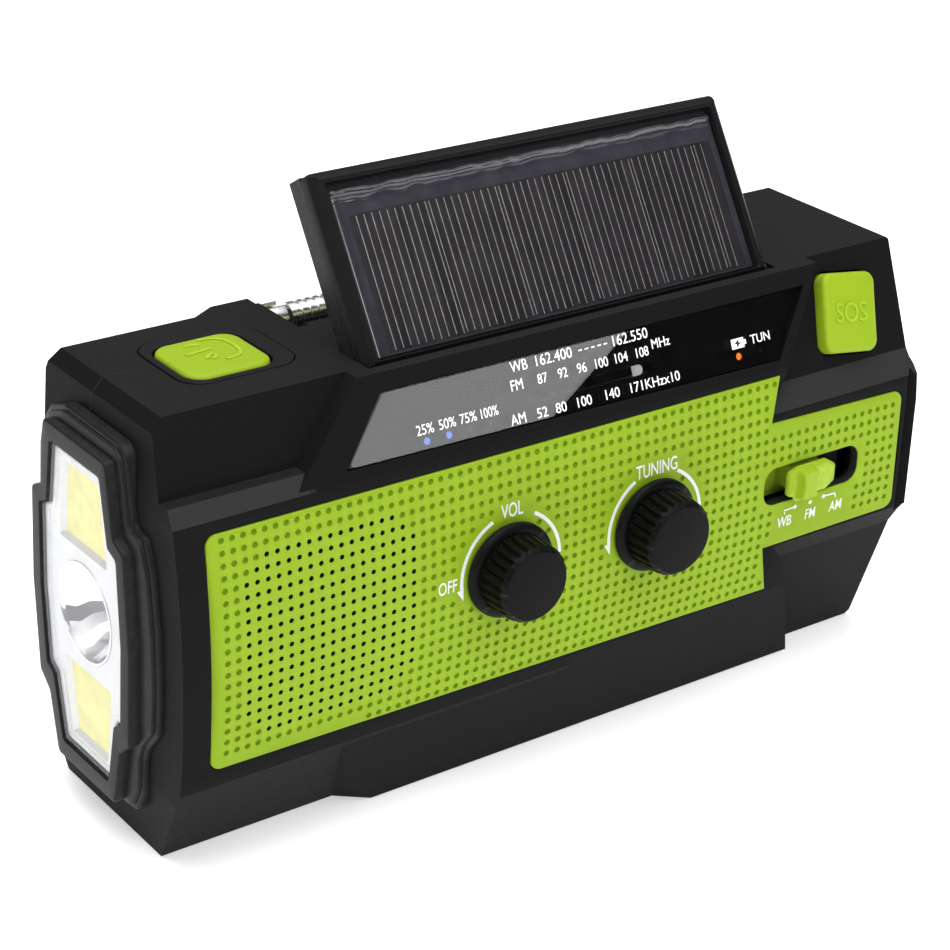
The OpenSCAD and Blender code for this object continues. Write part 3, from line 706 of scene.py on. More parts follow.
def build_panel():
    out = ccw(panel_outline())
    lip = inset(out, 0.28)
    mid = inset(out, 0.09)
    safe = inset(out, 0.45)
    loops = [lip]
    slot = list(reversed(ccw(SLOT)))
    slot_in = inset(ccw(SLOT), -0.25)
    loops.append(slot_in)
    for kx in (VOL_X, TUN_X):
        loops.append(disc(kx, KNOB_Z, 4.6, 32))
    cells = []
    for i in range(75):
        for j in range(20):
            x = PITCH * (i - 37)
            z = PITCH * 21 + ROW * (9.5 - j)
            if not all(inside((x + dx, z + dz), safe) for dx, dz in ((0.55, 0), (-0.55, 0), (0, 0.55), (0, -0.55))):
                continue
            if blocked(x, z):
                continue
            cells.append((x, z, is_speaker(i, j)))
    R = 0.52
    NR = 12
    for x, z, sp in cells:
        loops.append(disc(x, z, R if not sp else 0.45, NR))
    extra = []
    for i in range(76):                      # support points between the dimples keep the bow smooth
        for j in range(21):
            x = PITCH * (i - 37.5)
            z = PITCH * 21 + ROW * (10 - j)
            if inside((x, z), safe) and not inside((x, z), slot_in) and all(math.hypot(x - kx, z - KNOB_Z) > 5 for kx in (VOL_X, TUN_X)):
                extra.append((x, z))
    pts, tris = cdt(loops, extra)
    verts = [on_front(x, z, 0.25) for x, z in pts]
    faces = list(tris)
    # rolled outer edge and side wall
    n = len(out)
    k = len(verts)
    for ring, h in ((lip, 0.25), (mid, 0.18), (out, 0.0), (out, -1.7)):
        verts += [on_front(x, z, h) for x, z in ring]
    for r in range(3):
        for i in range(n):
            j = (i + 1) % n
            faces.append((k + r * n + i, k + r * n + j, k + (r + 1) * n + j, k + (r + 1) * n + i))
    # slot edge
    dark_faces = []
    sl = ccw(SLOT)
    n = len(sl)
    k = len(verts)
    for ring, h in ((slot_in, 0.25), (inset(sl, -0.08), 0.17), (sl, 0.0), (sl, -1.7)):
        verts += [on_front(x, z, h) for x, z in ring]
    for r in range(3):
        for i in range(n):
            j = (i + 1) % n
            faces.append((k + r * n + i, k + (r + 1) * n + i, k + (r + 1) * n + j, k + r * n + j))
            if r == 2:
                dark_faces.append(len(faces) - 1)
    for kx in (VOL_X, TUN_X):
        d0 = disc(kx, KNOB_Z, 4.6, 32)
        k = len(verts)
        for h in (0.25, -1.7):
            verts += [on_front(x, z, h) for x, z in d0]
        for i in range(32):
            j = (i + 1) % 32
            faces.append((k + i, k + 32 + i, k + 32 + j, k + j))
    mats = [0] * len(faces)
    for q in dark_faces:
        mats[q] = 2
    # dimples: dished cups in a darker lime as painted shade, or punched holes over the speaker
    for x, z, sp in cells:
        rings = ((0.45, 0.25), (0.42, 0.14), (0.41, -1.2), (0.41, -1.6)) if sp else ((R, 0.25), (R * 0.88, 0.05), (R * 0.62, -0.12))
        k = len(verts)
        for r, h in rings:
            verts += [on_front(a, b, h) for a, b in disc(x, z, r, NR)]
        for q in range(len(rings) - 1):
            for i in range(NR):
                j = (i + 1) % NR
                faces.append((k + q * NR + i, k + q * NR + j, k + (q + 1) * NR + j, k + (q + 1) * NR + i))
                # below the rim, the walls of the punched speaker holes take the dark material: painted shade inside the
                # holes
                mats.append((2 if q else 0) if sp else 1)
        if not sp:
            faces.append(tuple(k + (len(rings) - 1) * NR + i for i in range(NR)))
            mats.append(1)
    o = make("face_panel_skin", verts, faces, [LIME, LIME_PAINTED_SHADE, DARK], "case", ["face_panel"], sharp=40, mats=mats)
    return o, cells


panel, cells = build_panel()

# speaker cloth just behind the holes
v, f = loft(rrect(-67.5, 22, -31, 57, 8), [(0, -2.0), (0, -2.4)], on_front)
make("speaker_cloth", v, f, DARK, "case")

# ------------------------------------------------------------------ printed marks on the panel
marks = []


def arc_pts(kx, a0, a1, r=ARC_R, n=26):
    return [(kx + r * math.cos(math.radians(a0 + (a1 - a0) * i / n)), ARC_Z + r * math.sin(math.radians(a0 + (a1 - a0) * i / n))) for i in range(n + 1)]


P = lambda x, z, h: on_front(x, z, 0.25 + h)
for kx, a_s in ((ARC_VX, 112), (ARC_TX, 117)):
    marks.append(strip_geo(arc_pts(kx, a_s, 187), 0.62, P))
    marks.append(strip_geo(arc_pts(kx, 2, 62), 0.62, P))
    # arrow head at the lower left end
    e = math.radians(187)
    c = Vector((kx + ARC_R * math.cos(e), ARC_Z + ARC_R * math.sin(e)))
    t = Vector((math.sin(e), -math.cos(e))) * -1.0
    t = Vector((-math.sin(e), math.cos(e)))
    nrm = Vector((math.cos(e), math.sin(e)))
    marks.append(poly_geo([tuple(c + nrm * 0.95 + t * -0.1), tuple(c - nrm * 0.1 + t * 2.0), tuple(c - nrm * 0.31 + t * -0.1)], P))
marks.append(text_geo("VOL", 3.4, -14.75, 49.9, P, sx=0.66, bold=0.02))
marks.append(text_geo("TUNING", 3.4, 15.2, 49.7, P, sx=0.68, bold=0.02))
marks.append(text_geo("OFF", 3.2, -27.4, 39.7, P, sx=0.66, bold=0.02))
for s, x in (("WB", 45.1), ("FM", 51.2), ("AM", 57.3)):
    marks.append(text_geo(s, 2.9, x, 32.0, P, sx=0.72, bold=0.015))
marks.append(strip_geo([(45.0, 33.5), (44.75, 34.3), (47.3, 34.4)], 0.28, P))
marks.append(strip_geo([(57.0, 33.8), (56.75, 34.6), (54.0, 34.7)], 0.28, P))
for x, z in ((47.3, 34.4), (50.9, 34.35), (54.0, 34.7)):
    marks.append(poly_geo(disc(x, z, 0.40, 12), P))
v, f = join(*marks)
make("panel_print", v, f, WHITE_INK, "case", smooth=False)

# ------------------------------------------------------------------ dial window, plate and scale
WIN = [(-44.6, 2.4), (43.2, 1.2), (51.4, 12.6), (-35.9, 12.9)]
win_in = [(3.5 + (x - 3.5) * 0.996, 7.2 + (y - 7.2) * 0.965) for x, y in WIN]
win_r = round_poly(win_in, 0.6)
v, f = loft(win_r, [(0.0, -0.9), (0.0, -0.05), (0.12, 0.1)], on_dial)
make("dial_window_pane", v, f, WINDOW, "case", ["dial_window"], sharp=20)

hole = rrect(-9.2, 4.8, 17.0, 6.6, 0.88)
leds = [(-28.6, 3.5), (-24.4, 3.5), (-20.4, 3.5), (-16.4, 3.5), (35.6, 3.5), (40.4, 3.5)]


def build_plate():
    o = ccw(win_r)
    loops = [o, ccw(hole)] + [disc(x, y, 0.75, 20) for x, y in leds]
    pts, tris = cdt(loops)
    verts = [on_dial(x, y, -1.1) for x, y in pts]
    faces = list(tris)
    for lp in loops:
        k = len(verts)
        n = len(lp)
        for h in (-1.1, -2.1):
            verts += [on_dial(x, y, h) for x, y in lp]
        for i in range(n):
            j = (i + 1) % n
            faces.append((k + i, k + j, k + n + j, k + n + i))
    back_k = len(verts)
    verts += [on_dial(x, y, -2.1) for x, y in pts]
    faces += [tuple(back_k + i for i in reversed(t)) for t in tris]
    make("dial_plate_face", verts, faces, PLATE, "case", ["dial_plate"], sharp=30)


build_plate()
# grey strip behind the scale slot, and the pointer
for nm, z0, z1 in (("scale_slot_back_low", 4.35, 4.98), ("scale_slot_back_high", 6.42, 7.0)):
    v, f = loft(rrect(-9.8, z0, 17.6, z1, 0.2), [(0, -2.7), (0, -2.3)], on_dial)
    make(nm, v, f, GREY_SLOT, "case")
v, f = loft(rrect(-9.2, 4.8, 17.0, 6.6, 0.88), [(0, -1.30), (0, -1.24)], on_dial)
D = lambda x, y, h: on_dial(x, y, 0.10 + h)
scale = []


def dt(s, x, y, size=2.55, align="LEFT", sx=0.97, bold=0.0):
    scale.append(text_geo(s, size, x, y, D, 0.01, 0.05, sx=sx, align=align, bold=bold))


dt("WB", -11.7, 11.4, 2.5, sx=0.85)
dt("162.400", -7.1, 11.4, 2.5)
for i in range(5):
    scale.append(strip_geo([(2.0 + i * 1.3, 11.4), (2.7 + i * 1.3, 11.4)], 0.22, D, 0.01, 0.05))
dt("162.550", 8.6, 11.4, 2.5)
dt("MHz", 16.6, 9.3, 2.3, sx=0.9)
dt("FM", -12.4, 8.5, 2.5, sx=0.85)
for s, x in (("87", -7.0), ("92", -2.9), ("96", 1.0), ("100", 4.4), ("104", 8.5), ("108", 12.9)):
    dt(s, x, 8.5, 2.3, sx=0.88)
dt("AM", -13.5, 3.2, 2.5, sx=0.85)
for s, x in (("52", -8.4), ("80", -4.6), ("100", -0.6), ("140", 5.2), ("171KHzx10", 10.4)):
    dt(s, x, 3.2, 2.35)
for s, x in (("25%", -29.5), ("50%", -25.3), ("75%", -21.3), ("100%", -17.3)):
    dt(s, x, 5.5, 2.3, "CENTER", 0.86 if len(s) < 4 else 0.74)
dt("TUN", 37.5, 5.8, 2.2)
# battery mark with a bolt
scale.append(poly_geo([(33.3, 5.0), (36.0, 5.0), (36.0, 6.7), (33.3, 6.7)], D, 0.01, 0.05))
scale.append(poly_geo([(36.0, 5.45), (36.5, 5.45), (36.5, 6.25), (36.0, 6.25)], D, 0.01, 0.05))
v, f = join(*scale)
make("dial_print_marks", v, f, DIAL_INK, "case", smooth=False)
v, f = poly_geo([(35.0, 6.55), (33.8, 5.8), (34.5, 5.8), (34.2, 5.15), (35.5, 5.95), (34.8, 5.95)], D, 0.05, 0.08)
make("dial_print_bolt", v, f, PLATE, "case", smooth=False)
# pointer: a D-shaped white marker riding the slot
dsh = arc(14.4, 5.7, 0.86, -90, 90, 12) + [(13.5, 6.56), (13.5, 4.84)]
v, f = loft(dsh, [(0.0, -2.2), (0.0, -1.55), (0.12, -1.4)], on_dial)
v2, f2 = loft([(13.5, 5.0), (15.0, 5.0), (15.0, 6.4), (13.5, 6.4)], [(0, -6.3), (0, -2.2)], on_dial)
v3, f3 = loft(rrect(8.3, 3.4, 20.3, 8.0, 0.4), [(0.1, -8.6), (0, -8.5), (0, -6.3), (0.1, -6.2)], on_dial)
make("station_pointer", v, f, WHITE_MARK_PAINTED_GLOW, "pointer", ["dial_pointer"], sharp=25)
V, F = join((v2, f2), (v3, f3))
make("pointer_carriage", V, F, SWITCH, "pointer", sharp=25)
# lights
for k, ((x, y), m, sl) in enumerate(zip(leds, (BLUE, BLUE, GREYLED, GREYLED, ORANGE, DARKRED), ("led_blue",) * 4 + ("led_orange",) * 2)):
    rings = [(0.6, -2.15), (0.6, -1.5), (0.5, -1.25), (0.3, -1.12)]
    verts, faces = [], []
    for r, h in rings:
        verts += [on_dial(a, b, h) for a, b in disc(x, y, r, 16)]
    for q in range(3):
        for i in range(16):
            j = (i + 1) % 16
            faces.append((q * 16 + i, q * 16 + j, (q + 1) * 16 + j, (q + 1) * 16 + i))
    faces.append(tuple(range(48, 64)))
    faces.append(tuple(reversed(range(16))))
    o = make("dial_light_%d" % k, verts, faces, m, "case", sharp=60)
v, f = loft(rrect(-31, 2.3, -15.8, 4.7, 0.3), [(0, -7.6), (0, -6.4)], on_dial)
o = make("level_board", v, f, BOARD, "case", ["level_leds"])
v, f = loft(rrect(33.4, 2.3, 40.8, 4.7, 0.3), [(0, -7.6), (0, -6.4)], on_dial)
o = make("status_board", v, f, BOARD, "case", ["status_leds"])

# ------------------------------------------------------------------ knobs
def build_knob(name, cx, body, node):
    NT = 26 * 10
    prof = [(7.0, 0.02), (8.0, 0.0), (8.25, 0.18), (8.25, 0.85), (8.05, 1.15), (7.65, 1.42), (7.2, 1.5),
            (6.95, 1.55), (6.90, 2.0), (6.82, 3.8), (6.74, 5.6), (6.66, 6.3), (6.58, 6.52), (6.02, 7.26), (5.92, 7.36), (5.80, 7.38)]
    verts, faces = [], []
    rings = []
    for q, (r, h) in enumerate(prof):
        ring = []
        depth = 0.0
        if 7 <= q <= 12:
            depth = {7: 0.30, 8: 0.5, 9: 0.5, 10: 0.5, 11: 0.42, 12: 0.16}[q]
        for i in range(NT):
            t = 2 * math.pi * i / NT
            ph = (i % 10) / 10.0
            g = max(0.0, math.cos((ph - 0.5) * 2 * math.pi)) ** 0.7 if depth else 0.0
            rr = r - depth * g
            ring.append(len(verts))
            x, z = rr * math.cos(t), rr * math.sin(t)
            verts.append((cx + x, FRONT_Y - 0.6 - h, KNOB_Z + z))
        rings.append(ring)
    for q in range(len(rings) - 1):
        a, b = rings[q], rings[q + 1]
        for i in range(NT):
            j = (i + 1) % NT
            faces.append((a[i], a[j], b[j], b[i]))
    faces.append(tuple(reversed(rings[0])))
    faces.append(tuple(rings[-1]))
    o = make(name, verts, faces, KNOB, body, [node], sharp=38)
    return o


build_knob("volume_knob_turned", VOL_X, "volume", "volume_knob")
build_knob("tuning_knob_turned", TUN_X, "tuning", "tuning_knob")

# ------------------------------------------------------------------ slide switch
FY = lambda x, z, h: (x, -h, z)
zc = 39.5
body = round_poly([(44.5, zc - 2.2), (46.6, zc - 2.9), (53.3, zc - 2.9), (55.4, zc - 1.6), (55.4, zc + 1.6), (53.3, zc + 2.9), (46.6, zc + 2.9), (44.5, zc + 2.2)], 0.8, 4)
v1 = loft(body, [(0.0, 26.9), (0.0, 27.4), (0.10, 27.7), (0.35, 27.92), (0.8, 28.0)], FY)
grip = round_poly([(46.0, zc - 2.7), (50.0, zc - 2.7), (49.5, zc), (50.0, zc + 2.7), (46.0, zc + 2.7), (46.5, zc)], 0.6, 4)
v2 = loft(grip, [(-0.7, 27.9), (-0.25, 28.15), (0.0, 28.7), (0.05, 29.2), (0.15, 29.6), (0.32, 29.8)], FY)
v3 = loft(rrect(46.5, zc - 2.2, 53.5, zc + 2.2, 0.3), [(0, 22.0), (0, 27.0)], FY)
v4 = loft(rrect(43.8, zc - 4.2, 56.2, zc + 4.2, 0.5), [(0, 20.9), (0, 22.05)], FY)
V, F = join(v1, v2, v3, v4)
make("band_slider_finger", V, F, LIME_KEY, "band", ["band_slider"], sharp=35)

# ------------------------------------------------------------------ alarm button
rr = rrect(-6.0, -7.0, 6.0, 7.0, 2.0)
v1 = loft(rr, [(0.0, -1.0), (0.0, 1.45), (0.10, 1.80), (0.32, 2.08), (0.70, 2.26), (1.1, 2.3)], on_sos)
v2 = loft(disc(0, 0, 1.6, 24), [(0, -4.2), (0, -0.9)], on_sos)
V, F = join(v1, v2)
make("alarm_key", V, F, LIME_KEY, "alarm", ["sos_button"], sharp=30)
SP = lambda x, y, h: on_sos(x, y, 2.3 + h)
v, f = text_geo("SOS", 4.9, -0.2, -0.2, SP, -0.05, 0.22, sx=0.86, bold=0.01)
make("alarm_key_letters", v, f, LIME_KEY, "alarm", smooth=False)

# ------------------------------------------------------------------ lamp button
rr = rrect(-61.3, -7.0, -46.4, 7.3, 3.2, 10)
v1 = loft(rr, [(0.0, 72.2), (0.0, 75.35), (0.1, 75.65), (0.3, 75.88), (0.7, 76.04), (1.2, 76.1)], on_top)
v2 = loft(disc(-52.75, 0.55, 2, 24), [(0, 69.6), (0, 72.3)], on_top)
V, F = join(v1, v2)
make("lamp_key", V, F, LIME_KEY, "lamp_key", ["lamp_button"], sharp=30)
TP = lambda x, y, h: (x, y, 76.1 + h)
icon = []
for pts_ in ([(-56.2, 4.7), (-53.7, 4.1)], [(-57.7, 1.45), (-53.2, 1.9)],
             [(-53.3, 5.75), (-51.7, 5.5), (-50.4, 4.9), (-49.6, 3.8), (-49.3, 2.4), (-49.25, 0.7), (-49.5, -0.85), (-50.1, -2.1), (-51.0, -2.7), (-53.1, -2.8)],
             [(-55.6, -1.25), (-54.7, -0.3), (-53.9, 0.05), (-53.6, -0.6), (-54.1, -1.4), (-54.7, -1.8)]):
    icon.append(strip_geo(pts_, 0.62, TP, -0.05, 0.17))
v, f = join(*icon)
make("lamp_key_symbol", v, f, LIME_KEY, "lamp_key", smooth=False)

# ------------------------------------------------------------------ plates with one opening
def frame_solid(outer, hole, lo, lh, place):
    """Plate with an opening. lo and lh list (inset, height) from the back edge to the front edge of each wall."""
    o, q = ccw(outer), ccw(hole)
    verts, faces = [], []
    for ring, lv, sgn in ((o, lo, 1), (q, lh, -1)):
        n = len(ring)
        k = len(verts)
        for d, h in lv:
            r = inset(ring, d * sgn) if d else ring
            verts += [place(a, b, h) for a, b in r]
        for m in range(len(lv) - 1):
            for i in range(n):
                j = (i + 1) % n
                faces.append((k + m * n + i, k + m * n + j, k + (m + 1) * n + j, k + (m + 1) * n + i))
    for e in (0, -1):
        a = inset(o, lo[e][0]) if lo[e][0] else o
        b = inset(q, -lh[e][0]) if lh[e][0] else q
        pts, tris = cdt([a, b])
        k = len(verts)
        verts += [place(x, z, lo[e][1]) for x, z in pts]
        faces += [tuple(k + i for i in t) for t in tris]
    return verts, faces


# ------------------------------------------------------------------ lamp end
def mir(p):
    return p + [(-a, b) for a, b in reversed(p)]


def lamp_out(d):
    return mir([(9.9 + d, 29.8 + d), (11.7 + d, 17.9 + d), (14.7 + d, 16.5 + d * 0.7), (15.7 + d, 0), (14.7 + d, -16.5 - d * 0.7),
                (11.7 + d, -19.2 - d), (9.4 + d, -29.6 - d)])


FLANGE = [(-10.2, 32.5), (-12, 31.2), (-13.9, 20.4), (-17.4, 19.8), (-19.2, 14.5), (-20.3, 5), (-20.4, -5), (-19.6, -13), (-16.4, -16.8),
          (-15.3, -19.4), (-14.7, -25.6), (-12.2, -30.2), (10, -31.5), (12.5, -29.5), (13.5, -18), (16.2, -14), (17.2, 0), (16.2, 14),
          (15.2, 24), (14.2, 27.5), (11.5, 30.8), (6.8, 32.6)]
LENS_PTS = mir([(7.8, 26.7), (9.7, 15.6), (12.2, 14.6), (12.9, 0), (12.0, -13.9), (9.8, -15.2), (7.5, -26.4)])
lens_o = round_poly(LENS_PTS, 0.8, 4)
fl = round_poly(FLANGE, 1.5, 4)
v1 = frame_solid(fl, round_poly(lamp_out(-2.0), 0.5, 3), [(0.0, -3.4), (0.0, -1.15), (0.08, -0.95), (0.25, -0.8), (0.5, -0.75)], [(0, -3.4), (0, -0.75)], on_end)
v3 = frame_solid(round_poly(lamp_out(0.0), 1.1, 5), lens_o, [(0, -0.4), (0, 1.30), (0.08, 1.46), (0.22, 1.56), (0.45, 1.6)],
                 [(0, -0.4), (0, 1.38), (0.06, 1.52), (0.16, 1.6)], on_end)
# second step of the flange, between its edge and the ring
bead = round_poly([(a * 0.955, b * 0.975) for a, b in FLANGE], 1.4, 4)
v4 = frame_solid(bead, round_poly(lamp_out(-2.0), 0.5, 3), [(0, -0.8), (0.0, -0.42), (0.12, -0.2), (0.4, -0.1)], [(0, -0.8), (0, -0.1)], on_end)
V, F = join(v1, v3, v4)
make("lamp_bezel_moulding", V, F, BLACK2, "case", ["lamp_bezel"], sharp=32)
lens_in = [(a * 0.985, b * 0.99) for a, b in LENS_PTS]
li = round_poly(lens_in, 0.7, 4)
v, f = loft(li, [(0.1, 0.82), (0.0, 0.88), (0.0, 1.12), (0.2, 1.24), (0.6, 1.3)], on_end)
make("lamp_lens_clear", v, f, LENS, "case", ["lamp_lens"], sharp=20)
# stepped clear lip just inside the lens edge
lip_o, lip_i = round_poly([(a * 0.955, b * 0.97) for a, b in LENS_PTS], 0.6, 4), round_poly([(a * 0.88, b * 0.935) for a, b in LENS_PTS], 0.6, 4)
v, f = frame_solid(lip_o, lip_i, [(0, 0.5), (0, 0.68), (0.1, 0.76)], [(0, 0.5), (0, 0.66), (0.1, 0.76)], on_end)
make("lamp_tray_lip", v, f, REFLECT, "case", sharp=25)


def tray():
    o = ccw(round_poly([(a * 0.965, b * 0.98) for a, b in LENS_PTS], 0.6, 4))
    wells = []
    for s in (-1, 1):
        w = [(-7.6, s * 10.6), (7.6, s * 10.6), (6.9, s * 17.0), (5.7, s * 24.3), (-5.7, s * 24.3), (-6.9, s * 17.0)]
        wells.append(ccw(round_poly(w, 0.5, 3)))
    cup = disc(0, 0, 8.5, 48)
    pts, tris = cdt([o] + wells + [cup])
    verts = [on_end(x, z, 0.55) for x, z in pts]
    faces = list(tris)
    for lp, lv in [(o, [(0, 0.55), (0, -1.2)])] + [(w, [(0.0, 0.55), (0.25, 0.3), (0.75, -0.35)]) for w in wells] + [(cup, [(0, 0.55), (0.0, -1.0)])]:
        n = len(lp)
        k = len(verts)
        for d, h in lv:
            r = inset(lp, d) if d else lp
            verts += [on_end(a, b, h) for a, b in r]
        for m in range(len(lv) - 1):
            for i in range(n):
                j = (i + 1) % n
                faces.append((k + m * n + i, k + m * n + j, k + (m + 1) * n + j, k + (m + 1) * n + i))
    make("lamp_tray", verts, faces, REFLECT, "case", ["lamp_reflector"], sharp=30)
    cob = []
    for w in wells:
        cob.append(loft(inset(w, 0.55), [(0, -0.9), (0, -0.3)], on_end))
    V, F = join(*cob)
    make("lamp_cob", V, F, YELLOW, "case", ["cob_strips"], sharp=30)


tray()
# faceted spot reflector
prof = [(8.45, 0.45), (8.45, 0.68), (8.15, 0.72), (7.8, 0.2), (7.0, -1.3), (5.8, -3.3), (4.3, -5.3), (2.6, -7.4), (2.4, -7.7)]
NS = 36
verts, faces = [], []
for q, (r, h) in enumerate(prof):
    for i in range(NS):
        t = 2 * math.pi * (i + 0.5 * (q % 2)) / NS
        rr_ = r * (1.0 - (0.012 if (i % 2 and 2 < q < 8) else 0.0))
        verts.append(on_end(rr_ * math.cos(t), rr_ * math.sin(t), h))
for q in range(len(prof) - 1):
    for i in range(NS):
        j = (i + 1) % NS
        faces.append((q * NS + i, q * NS + j, (q + 1) * NS + j, (q + 1) * NS + i))
SPOT = metal("mat_spot_bowl", (0.93, 0.93, 0.95), 0.09, (1, 1, 1), 300, 0.03)
make("spot_reflector", verts, faces, SPOT, "case", ["spot_bowl"], sharp=12)
verts, faces = [], []
for q in range(7):
    a = math.radians(90 * q / 6)
    r, h = 1.9 * math.cos(a), -7.5 + 1.9 * math.sin(a)
    for i in range(24):
        t = 2 * math.pi * i / 24
        verts.append(on_end(max(r, 0.02) * math.cos(t), max(r, 0.02) * math.sin(t), h))
for q in range(6):
    for i in range(24):
        j = (i + 1) % 24
        faces.append((q * 24 + i, q * 24 + j, (q + 1) * 24 + j, (q + 1) * 24 + i))
faces.append(tuple(range(144, 168)))
faces.append(tuple(reversed(range(24))))
make("spot_emitter", verts, faces, WARM, "case", ["spot_led"], sharp=30)

# ------------------------------------------------------------------ lamp button surround, nearly flush
ring_o = rrect(-63.0, -8.5, -42.5, 10.0, 4.2, 9)
ring_i = rrect(-61.65, -7.35, -46.05, 7.65, 3.5, 9)
v, f = frame_solid(ring_o, ring_i, [(0, 72.2), (0, 75.62), (0.12, 75.74)], [(0, 72.2), (0, 75.62), (0.12, 75.74)], on_top)
make("lamp_button_surround", v, f, BLACK, "case", ["lamp_button_ring"], sharp=30)

# ------------------------------------------------------------------ parting line of the two shells
def seam_geo(pts):
    verts, faces = [], []
    for x, z, nx_, nz_ in pts:
        for yy, d in ((1.84, 0.03), (2.02, 0.03), (2.02, -0.12), (1.84, -0.12)):
            verts.append((x + nx_ * d, yy, z + nz_ * d))
    for i in range(len(pts) - 1):
        for j in range(4):
            a, b = i * 4 + j, i * 4 + (j + 1) % 4
            faces.append((a, b, b + 4, a + 4))
    faces.append((0, 1, 2, 3))
    e = (len(pts) - 1) * 4
    faces.append((e + 3, e + 2, e + 1, e))
    return verts, faces


V, F = join(seam_geo([(-75.1, 63.5, -0.99, 0.14), (-73.75, 73.4, -0.95, 0.3), (-73.5, 73.8, -0.85, 0.5), (-72.0, 75.4, -0.6, 0.8), (-71.6, 75.6, -0.2, 1.0), (-63.3, 75.6, 0, 1)]),
            seam_geo([(-42.2, 75.6, 0, 1), (-36.6, 75.6, 0, 1)]),
            seam_geo([(48.2, 75.6, 0, 1), (74.2, 75.6, 0, 1)]))
make("shell_parting_line", V, F, DARK, "case", smooth=False)

# ------------------------------------------------------------------ solar lid
lid_o = rrect(LX0, -1.2, LX1, LID_LEN, 1.0, 5)
well = rrect(LX0 + 2.3, 0.4, LX1 - 2.3, LID_LEN - 2.0, 0.5, 3)
v1 = frame_solid(lid_o, well, [(0.0, -3.3), (0.0, -1.55), (0.14, -1.28), (1.22, -0.14), (1.5, 0.0)], [(0, -3.3), (0, -0.16), (0.14, 0.0)], on_lid)
v2 = loft(inset(ccw(well), -0.1), [(0, -3.3), (0, -1.9)], on_lid)
V, F = join(v1, v2)
make("solar_frame_moulding", V, F, BLACK2, "lid", ["solar_frame"], sharp=28)
v, f = loft(rrect(LX0 + 2.6, 0.7, LX1 - 2.6, LID_LEN - 2.4, 0.4, 3), [(0, -1.88), (0, -1.55)], on_lid)
make("solar_pad", v, f, DARK, "lid", sharp=30)


def film_sheet():
    """Resin-covered cell: flat in the middle, its top and left edges drawn up into an uneven bead."""
    nx, ns = 150, 40
    x0, x1, s0, s1 = -33.1, 44.5, 0.9, 28.2
    xs = [x0 + (x1 - x0) * (i / nx) for i in range(nx + 1)]
    ss = [s0 + (24.9 - s0) * j / 8 for j in range(9)] + [24.9 + (s1 - 24.9) * (j + 1) / (ns - 8) for j in range(ns - 8)]
    wob = [rng.uniform(-1, 1) for _ in range(nx + 8)]
    wob2 = [rng.uniform(-1, 1) for _ in range(nx + 8)]
    sm = lambda w, i: (w[i] + 2 * w[i + 1] + 3 * w[i + 2] + 2 * w[i + 3] + w[i + 4]) / 9
    verts = []
    for i, x in enumerate(xs):
        fade = 1.0 - 0.55 * (i / nx)
        for s in ss:
            e = s1 - s
            top = 0.0
            c = 0.85 + 0.35 * sm(wob, i)
            if e < 3.3:
                top = 0.75 * fade * math.exp(-((e - c) / 0.42) ** 2) + 0.12 * fade * math.exp(-((e - 2.1 - 0.4 * sm(wob2, i)) / 0.35) ** 2)
            el = x - x0
            left = 0.24 * math.exp(-((el - 0.8) / 0.45) ** 2)
            droop = -0.42 * max(0.0, 1 - e / 0.5) ** 2 - 0.42 * max(0.0, 1 - el / 0.5) ** 2
            verts.append(on_lid(x, s + (0.10 * sm(wob2, i) if e < 1 else 0), -1.12 + top + left + droop))
    m = len(ss)
    faces = [(i * m + j, (i + 1) * m + j, (i + 1) * m + j + 1, i * m + j + 1) for i in range(nx) for j in range(m - 1)]
    k = len(verts)
    ring = [i * m for i in range(nx + 1)] + [nx * m + j for j in range(1, m)] + [i * m + m - 1 for i in range(nx - 1, -1, -1)] + [j for j in range(m - 2, 0, -1)]
    base = {}
    for r in ring:
        i, j = divmod(r, m)
        base[r] = len(verts)
        verts.append(on_lid(xs[i], ss[j], -1.56))
    for a, b in zip(ring, ring[1:] + ring[:1]):
        faces.append((a, b, base[b], base[a]))
    faces.append(tuple(base[r] for r in ring))
    make("solar_film", verts, faces, FILM, "lid", ["solar_cell"], sharp=60)


film_sheet()
v, f = loft(rrect(-30.4, 1.3, 43.2, 23.6, 0.2, 2), [(0, -1.13), (0, -1.085)], on_lid)
make("solar_cell_area", v, f, CELL, "lid", smooth=False)
grid = []
x = -29.1
k_ = 0
while x < 42.2:
    grid.append(poly_geo([(x - 0.075, 1.5 + 0.1 * (k_ % 3)), (x + 0.075, 1.5 + 0.1 * (k_ % 3)), (x + 0.075, 23.3), (x - 0.075, 23.3)], lambda a, b, h: on_lid(a, b, -1.085 + h), 0.0, 0.02))
    if k_ % 10 == 9:
        x += 0.72
    else:
        x += 1.45
    k_ += 1
V, F = join(*grid)
make("solar_grid_lines", V, F, GRIDLINE, "lid", smooth=False)

# ------------------------------------------------------------------ floor, light and camera
def stage_plane(name, verts, mat):
    me = bpy.data.meshes.new(name)
    me.from_pydata(verts, [], [(0, 1, 2, 3)])
    o = bpy.data.objects.new(name, me)
    bpy.context.scene.collection.objects.link(o)
    me.materials.append(mat)
    return o


k = Net("mat_floor")
n = k.noise(6, 2.0)
c = k.ramp(n, "Fac", 0.3, 0.7, rgb(0.93, 0.93, 0.93), rgb(0.95, 0.95, 0.95))
k.l(c, "Color", k.b, "Base Color")
k.set(Roughness=0.9, Specular_IOR_Level=0.1, Emission_Strength=0.42)
k.b.inputs["Emission Color"].default_value = rgb(1, 1, 1)
stage_plane("floor", [(-6, -6, -0.0002), (6, -6, -0.0002), (6, 6, -0.0002), (-6, 6, -0.0002)], k.m)

w = bpy.data.worlds.new("world")
bpy.context.scene.world = w
w.use_nodes = True
wt = w.node_tree
tc = wt.nodes.new("ShaderNodeTexCoord")
sp = wt.nodes.new("ShaderNodeSeparateXYZ")
wt.links.new(tc.outputs["Generated"], sp.inputs[0])


